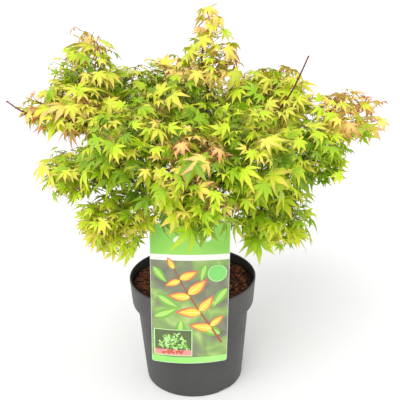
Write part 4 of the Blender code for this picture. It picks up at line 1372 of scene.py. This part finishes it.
def soil_level(x, y):
    """The height of the soil's uneven top."""
    radius = math.hypot(x, y)
    edge = pot_inner_radius(SOIL_HEIGHT)
    sink = SOIL_SINK * max(0.0, (radius / edge - SINK_FROM) / (1 - SINK_FROM)) ** 2
    lumps = 0
    for k, (cells, height) in enumerate(SOIL_LUMPS):
        lumps += noise.noise(Vector((x, y, k)) * cells) * height
    return SOIL_HEIGHT + lumps * MM - sink


def make_soil(look):
    """The root ball and its loose top, which fill the pot to just under its rim."""
    clear = SOIL_CLEARANCE
    wall = [
        (pot_inner_radius(BASE_PLATE) - clear, BASE_PLATE + GAP),
        (pot_inner_radius(NECK_HEIGHT) - clear, NECK_HEIGHT - STEP_CLEARANCE),
        (pot_inner_radius(COLLAR_FOOT_HEIGHT) - 2 * clear, COLLAR_FOOT_HEIGHT + STEP_CLEARANCE),
    ]
    edge = pot_inner_radius(SOIL_HEIGHT) - 2 * clear
    top = [(edge * (1 - i / SOIL_RINGS), SOIL_HEIGHT) for i in range(SOIL_RINGS)]
    profile = [(0, BASE_PLATE + GAP)] + wall + top + [(0, SOIL_HEIGHT)]
    points, faces = turned(profile, POT_SEGMENTS)
    for point in points[1 + len(wall) * POT_SEGMENTS :]:
        point.z = soil_level(point.x, point.y)
    batch = Batch(look)
    batch.add(points, faces)
    batch.piece("potting_soil", "soil", "soil")


def splinter(place, length, width, thickness, turn, tips, rng):
    """Points and faces of an uneven splinter of bark."""
    points = []
    along = Vector((math.cos(turn), math.sin(turn), tips[0])).normalized()
    across = Vector((-math.sin(turn), math.cos(turn), tips[1])).normalized()
    up = along.cross(across)
    for end in (-1, 1):
        taper = rng.uniform(0.45, 1.0)
        for side, level in ((-1, -1), (1, -1), (1, 1), (-1, 1)):
            step = along * (end * length / 2 * rng.uniform(0.8, 1.1))
            step += across * (side * width / 2 * taper * rng.uniform(0.7, 1.2))
            step += up * (level * thickness / 2 * rng.uniform(0.6, 1.2))
            points.append(place + step)
    return points, ring_faces(2, 4) + end_faces(2, 4)


def make_mulch():
    """Loose chips and fibres of bark that cover the soil."""
    rng = np.random.default_rng(SEED + 3)
    batch = Batch(*(plain_look(f"chip_{i}", tint, 0.85) for i, tint in enumerate(CHIP_TINTS)))
    edge = pot_inner_radius(SOIL_HEIGHT) - 3 * MM
    for k in range(CHIPS + FIBRES):
        chip = k < CHIPS
        length = rng.uniform(*(CHIP_LENGTH if chip else FIBRE_LENGTH))
        width = length * rng.uniform(0.25, 0.55) if chip else rng.uniform(0.5, 0.9) * MM
        thickness = rng.uniform(0.5, 1.4) * MM if chip else 0.5 * MM
        radius = (edge - length / 2) * math.sqrt(rng.uniform(0, 1))
        turn = rng.uniform(0, 2 * math.pi)
        x, y = radius * math.cos(turn), radius * math.sin(turn)
        if math.hypot(x - TRUNK_FOOT.x, y - TRUNK_FOOT.y) < FLARE_RADIUS:
            continue
        place = Vector((x, y, soil_level(x, y) + rng.uniform(0, 1.6) * MM))
        tips = rng.uniform(-0.35, 0.35, 2)
        look = int(rng.choice(len(CHIP_TINTS), p=CHIP_ODDS if chip else FIBRE_ODDS))
        heading = rng.uniform(0, math.pi)
        batch.add(*splinter(place, length, width, thickness, heading, tips, rng), look)
    batch.piece("bark_mulch", "soil", smooth=False)


# --- card ---------------------------------------------------------------------------------
def card_point(across, up, depth):
    """A point of the card: across from its middle line, up from the pot's underside, and
    depth out of its back face. Its middle line leans against the rim."""
    share = (up - CARD_FOOT) / (CARD_TOP - CARD_FOOT)
    bow = CARD_BOW_FOOT + (CARD_BOW_TOP - CARD_BOW_FOOT) * share
    back = bow * (2 * across / CARD_WIDTH) ** 2
    lean = (up - POT_HEIGHT) * math.tan(math.radians(CARD_LEAN_DEG))
    turn = math.tan(math.radians(CARD_TURN_DEG))
    x = CARD_SHIFT + across + (up - POT_HEIGHT) * turn
    return Vector((x, -(RIM_RADIUS + CARD_CLEARANCE + lean + depth) + back, up - across * turn))


def card_half_width(up, inset):
    """Half the card's width at a height, less an inset, with its corners rounded."""
    corner = CARD_CORNER - inset
    to_end = min(up - CARD_FOOT, CARD_TOP - up) - inset
    short = corner - math.sqrt(max(0.0, corner**2 - max(0.0, corner - to_end) ** 2))
    return CARD_WIDTH / 2 - inset - short


def card_rows(low, high, inset):
    """Heights from low to high, close together where the card's corners are round."""
    step = 4 * MM
    rows = list(np.linspace(low, high, max(2, round((high - low) / step) + 1)))
    for share in (0.03, 0.12, 0.3, 0.6, 1.0):
        rows += [CARD_FOOT + inset + CARD_CORNER * share, CARD_TOP - inset - CARD_CORNER * share]
    return sorted({round(float(row), 6) for row in rows if low <= row <= high})


def card_sheet(low, high, depth, inset):
    """Points and faces of a layer of the card over its whole width."""
    rows = card_rows(low, high, inset)
    points = [
        card_point(card_half_width(up, inset) * (2 * i / CARD_COLUMNS - 1), up, depth)
        for up in rows
        for i in range(CARD_COLUMNS + 1)
    ]
    return points, grid_faces(len(rows), CARD_COLUMNS + 1)


def make_card_body(look):
    """The card itself: two faces joined round their edge, and the tongue that hooks on the rim."""
    back, faces = card_sheet(CARD_FOOT, CARD_TOP, 0, 0)
    front, _ = card_sheet(CARD_FOOT, CARD_TOP, CARD_THICKNESS, 0)
    width, count = CARD_COLUMNS + 1, len(back)
    border = [*range(width), *range(2 * width - 1, count, width)]
    border += [*range(count - 2, count - width - 1, -1), *range(count - 2 * width, 0, -width)]
    solid = [tuple(reversed(face)) for face in faces]
    solid += [tuple(v + count for v in face) for face in faces]
    solid += [(a, b, b + count, a + count) for a, b in zip(border, border[1:] + border[:1])]
    batch = Batch(look)
    batch.add(back + front, solid)
    batch.add(*hook_tongue())
    card = batch.piece("card_sheet", "card_print", "label_card")
    card.data.set_sharp_from_angle(angle=math.radians(40))


def hook_tongue():
    """The tongue behind the card that passes over the rim and hangs inside it."""
    half = CARD_THICKNESS / 2
    front = -(RIM_RADIUS + 0.9 * MM)
    inside = -(RIM_RADIUS - HOOK_REACH) + half
    over = POT_HEIGHT + GAP + half
    line = [(front, over), (inside - HOOK_BEND, over)]
    for k in range(1, 5):
        turn = math.pi * k / 8
        y = inside - HOOK_BEND + HOOK_BEND * math.sin(turn)
        line.append((y, over - HOOK_BEND + HOOK_BEND * math.cos(turn)))
    line.append((inside, over - HOOK_DROP))
    points = []
    for i, (y, z) in enumerate(line):
        before, after = line[max(0, i - 1)], line[min(len(line) - 1, i + 1)]
        run = Vector((0, after[0] - before[0], after[1] - before[1])).normalized()
        out = Vector((0, -run.z, run.y)) * half
        for side, level in ((-1, 1), (1, 1), (1, -1), (-1, -1)):
            points.append(Vector((CARD_SHIFT + side * HOOK_WIDTH / 2, y, z)) + out * level)
    return points, ring_faces(len(line), 4) + end_faces(len(line), 4)


class Print:
    """Shapes printed on the card's front, in millimetres across and up from its middle and the
    pot's underside. Each is a strip of left and right edge points."""

    def __init__(self):
        self.looks, self.shapes = {}, []

    def strip(self, pairs, look, layer):
        """A shape of one ink on a layer, from its pairs of edge points."""
        self.looks.setdefault(look, len(self.looks))
        self.shapes.append((pairs, look, layer))

    def leaf(self, x, y, angle, length, width, look, layer, bend=0.0):
        """A pointed oval leaf that starts at a place and runs at an angle in degrees."""
        turn = math.radians(angle)
        pairs = []
        for i in range(13):
            share = i / 12
            half = width / 2 * math.sin(math.pi * share**0.8) ** 0.9 * (1.15 - 0.3 * share)
            out, drift = length * share, bend * length * 0.4 * share**2
            cx = x + out * math.cos(turn) - drift * math.sin(turn)
            cy = y + out * math.sin(turn) + drift * math.cos(turn)
            heading = turn + bend * share
            ox, oy = -math.sin(heading) * half, math.cos(heading) * half
            pairs.append(((cx + ox, cy + oy), (cx - ox, cy - oy)))
        self.strip(pairs, look, layer)

    def line(self, corners, width, look, layer):
        """A tapering line through some places, in steps short enough to follow the bow."""
        places = [corners[0]]
        for start, end in zip(corners, corners[1:]):
            count = math.ceil(math.dist(start, end) / PRINT_STEP)
            for k in range(1, count + 1):
                places.append(tuple(a + (b - a) * k / count for a, b in zip(start, end)))
        pairs = []
        for i, (x, y) in enumerate(places):
            bx, by = places[max(0, i - 1)]
            ax, ay = places[min(len(places) - 1, i + 1)]
            half = width / 2 * (1 - 0.55 * i / (len(places) - 1)) / math.hypot(ax - bx, ay - by)
            ox, oy = (by - ay) * half, (ax - bx) * half
            pairs.append(((x + ox, y + oy), (x - ox, y - oy)))
        self.strip(pairs, look, layer)

    def disc(self, x, y, radius, look, layer):
        pairs = []
        for i in range(17):
            turn = math.pi * i / 16
            half, up = radius * math.sin(turn), y - radius * math.cos(turn)
            pairs.append(((x + half, up), (x - half, up)))
        self.strip(pairs, look, layer)

    def block(self, left, right, low, high, look, layer):
        count = max(2, round((high - low) / 4))
        rows = [low + (high - low) * i / count for i in range(count + 1)]
        self.strip([((right, y), (left, y)) for y in rows], look, layer)

    def piece(self, name, materials):
        """Lays the shapes on the card. A wide strip is divided so that it follows the bow."""
        batch = Batch(*(materials[look] for look in self.looks))
        for pairs, look, layer in self.shapes:
            widest = max(math.dist(a, b) for a, b in pairs)
            parts = max(1, math.ceil(widest / PRINT_STEP))
            depth = CARD_THICKNESS + PRINT_LAYER * layer
            points = []
            for (ax, ay), (bx, by) in pairs:
                for k in range(parts + 1):
                    across, up = ax + (bx - ax) * k / parts, ay + (by - ay) * k / parts
                    points.append(card_point(across * MM, up * MM, depth))
            batch.add(points, grid_faces(len(pairs), parts + 1), self.looks[look])
        return batch.piece(name, "card_print")


def make_card():
    make_card_body(card_look())
    for name, (low, high, scale, stops) in BANDS.items():
        batch = Batch(print_look(name, stops, scale))
        low = max(low * MM, CARD_FOOT + BAND_INSET)
        high = min(high * MM, CARD_TOP - BAND_INSET)
        batch.add(*card_sheet(low, high, CARD_THICKNESS + PRINT_LAYER, BAND_INSET))
        batch.piece(name, "card_print")
    make_motifs()


def make_motifs():
    """A plain printed picture: blurred leaves, a sprig of oval leaves, a disc, a row of small
    leaves and an inset of a round bush."""
    rng = np.random.default_rng(SEED + 4)
    art = Print()
    for x, y, angle, length in BLURRED_LEAVES:
        art.leaf(x, y, angle, length, length * 0.42, "ink_green", 2, bend=0.3)
        art.leaf(x, y, angle, length * 0.96, length * 0.2, "ink_light", 3, bend=0.3)
    art.line(SPRIG, 3.2, "ink_twig", 4)
    for share, angle, length in SPRIG_LEAVES:
        place = share * (len(SPRIG) - 1)
        i = min(int(place), len(SPRIG) - 2)
        x, y = (a + (b - a) * (place - i) for a, b in zip(SPRIG[i], SPRIG[i + 1]))
        bend = rng.uniform(-0.5, 0.5)
        art.leaf(x, y, angle, length, length * 0.46, "ink_edge", 5, bend)
        art.leaf(x, y, angle, length * 0.86, length * 0.34, "ink_gold", 6, bend)
        art.leaf(x, y, angle, length * 0.70, length * 0.05, "ink_pale", 7, bend)
    art.disc(38, 222, 13.5, "ink_ring", 8)
    art.disc(38, 222, 12.3, "ink_disc", 9)
    for k in range(5):
        art.leaf(-22 + 11 * k, 272, 55, 13, 5.4, "ink_white", 3, bend=-0.3)
    art.block(-51, 4, 84, 130, "ink_ring", 8)
    art.block(-49.6, 2.6, 85.4, 128.6, "ink_dark", 9)
    art.block(-49.6, 2.6, 85.4, 95, "ink_pink", 10)
    for k in range(26):
        art.disc(rng.uniform(-46, -2), rng.uniform(88, 95), rng.uniform(1.0, 2.2), "ink_ground", 11)
    for k in range(120):
        turn, out = rng.uniform(0, math.pi), math.sqrt(rng.uniform(0, 1))
        x = -23.5 + 20 * out * math.cos(turn)
        y = 98 + 24 * out * math.sin(turn)
        ink = ("ink_green", "ink_light", "ink_ring")[int(rng.integers(3))]
        art.leaf(x, y, rng.uniform(0, 360), rng.uniform(4, 7), 2.4, ink, 12 + k % 4)
    inks = {name: plain_look(name, colour, 0.32) for name, colour in INKS.items()}
    art.piece("card_motifs", inks)


# --- stage --------------------------------------------------------------------------------
def make_stage():
    """A pale floor, soft light from all round, and the camera."""
    reach = FLOOR_REACH
    corners = [(-reach, -reach, 0), (reach, -reach, 0), (reach, reach, 0), (-reach, reach, 0)]
    mesh = new_mesh("floor", corners, [(0, 1, 2, 3)])
    mesh.materials.append(plain_look("floor_white", (252, 252, 252), 0.9))
    placed("floor", mesh)

    world = bpy.data.worlds.new("studio")
    world.use_nodes = True
    sky = world.node_tree.nodes["Background"]
    sky.inputs["Color"].default_value = (1, 1, 1, 1)
    sky.inputs["Strength"].default_value = SKY_STRENGTH
    bpy.context.scene.world = world

    for name, (place, strength, softness_deg) in LAMPS.items():
        light = bpy.data.lights.new(name, "SUN")
        light.energy = strength
        light.angle = math.radians(softness_deg)
        lamp = placed(name, light)
        lamp.rotation_euler = (-Vector(place)).to_track_quat("-Z", "Y").to_euler()

    data = bpy.data.cameras.new("camera")
    data.lens = CAMERA_LENS
    data.sensor_width = 36
    camera = placed("camera", data)
    turn = Matrix.Rotation(math.radians(CAMERA_TURN_DEG), 4, "Z")
    turn = turn @ Matrix.Rotation(math.radians(90 - CAMERA_DIP_DEG), 4, "X")
    turn = turn @ Matrix.Rotation(math.radians(CAMERA_ROLL_DEG), 4, "Z")
    camera.matrix_world = Matrix.Translation(CAMERA_PLACE) @ turn
    bpy.context.scene.camera = camera
    bpy.context.scene.view_settings.view_transform = "Standard"


def main():
    limbs = limb_lines()
    make_limbs(limbs, bark_look())
    make_foliage(limbs)
    make_pot(pot_look())
    make_soil(soil_look())
    make_mulch()
    make_card()
    make_stage()


main()
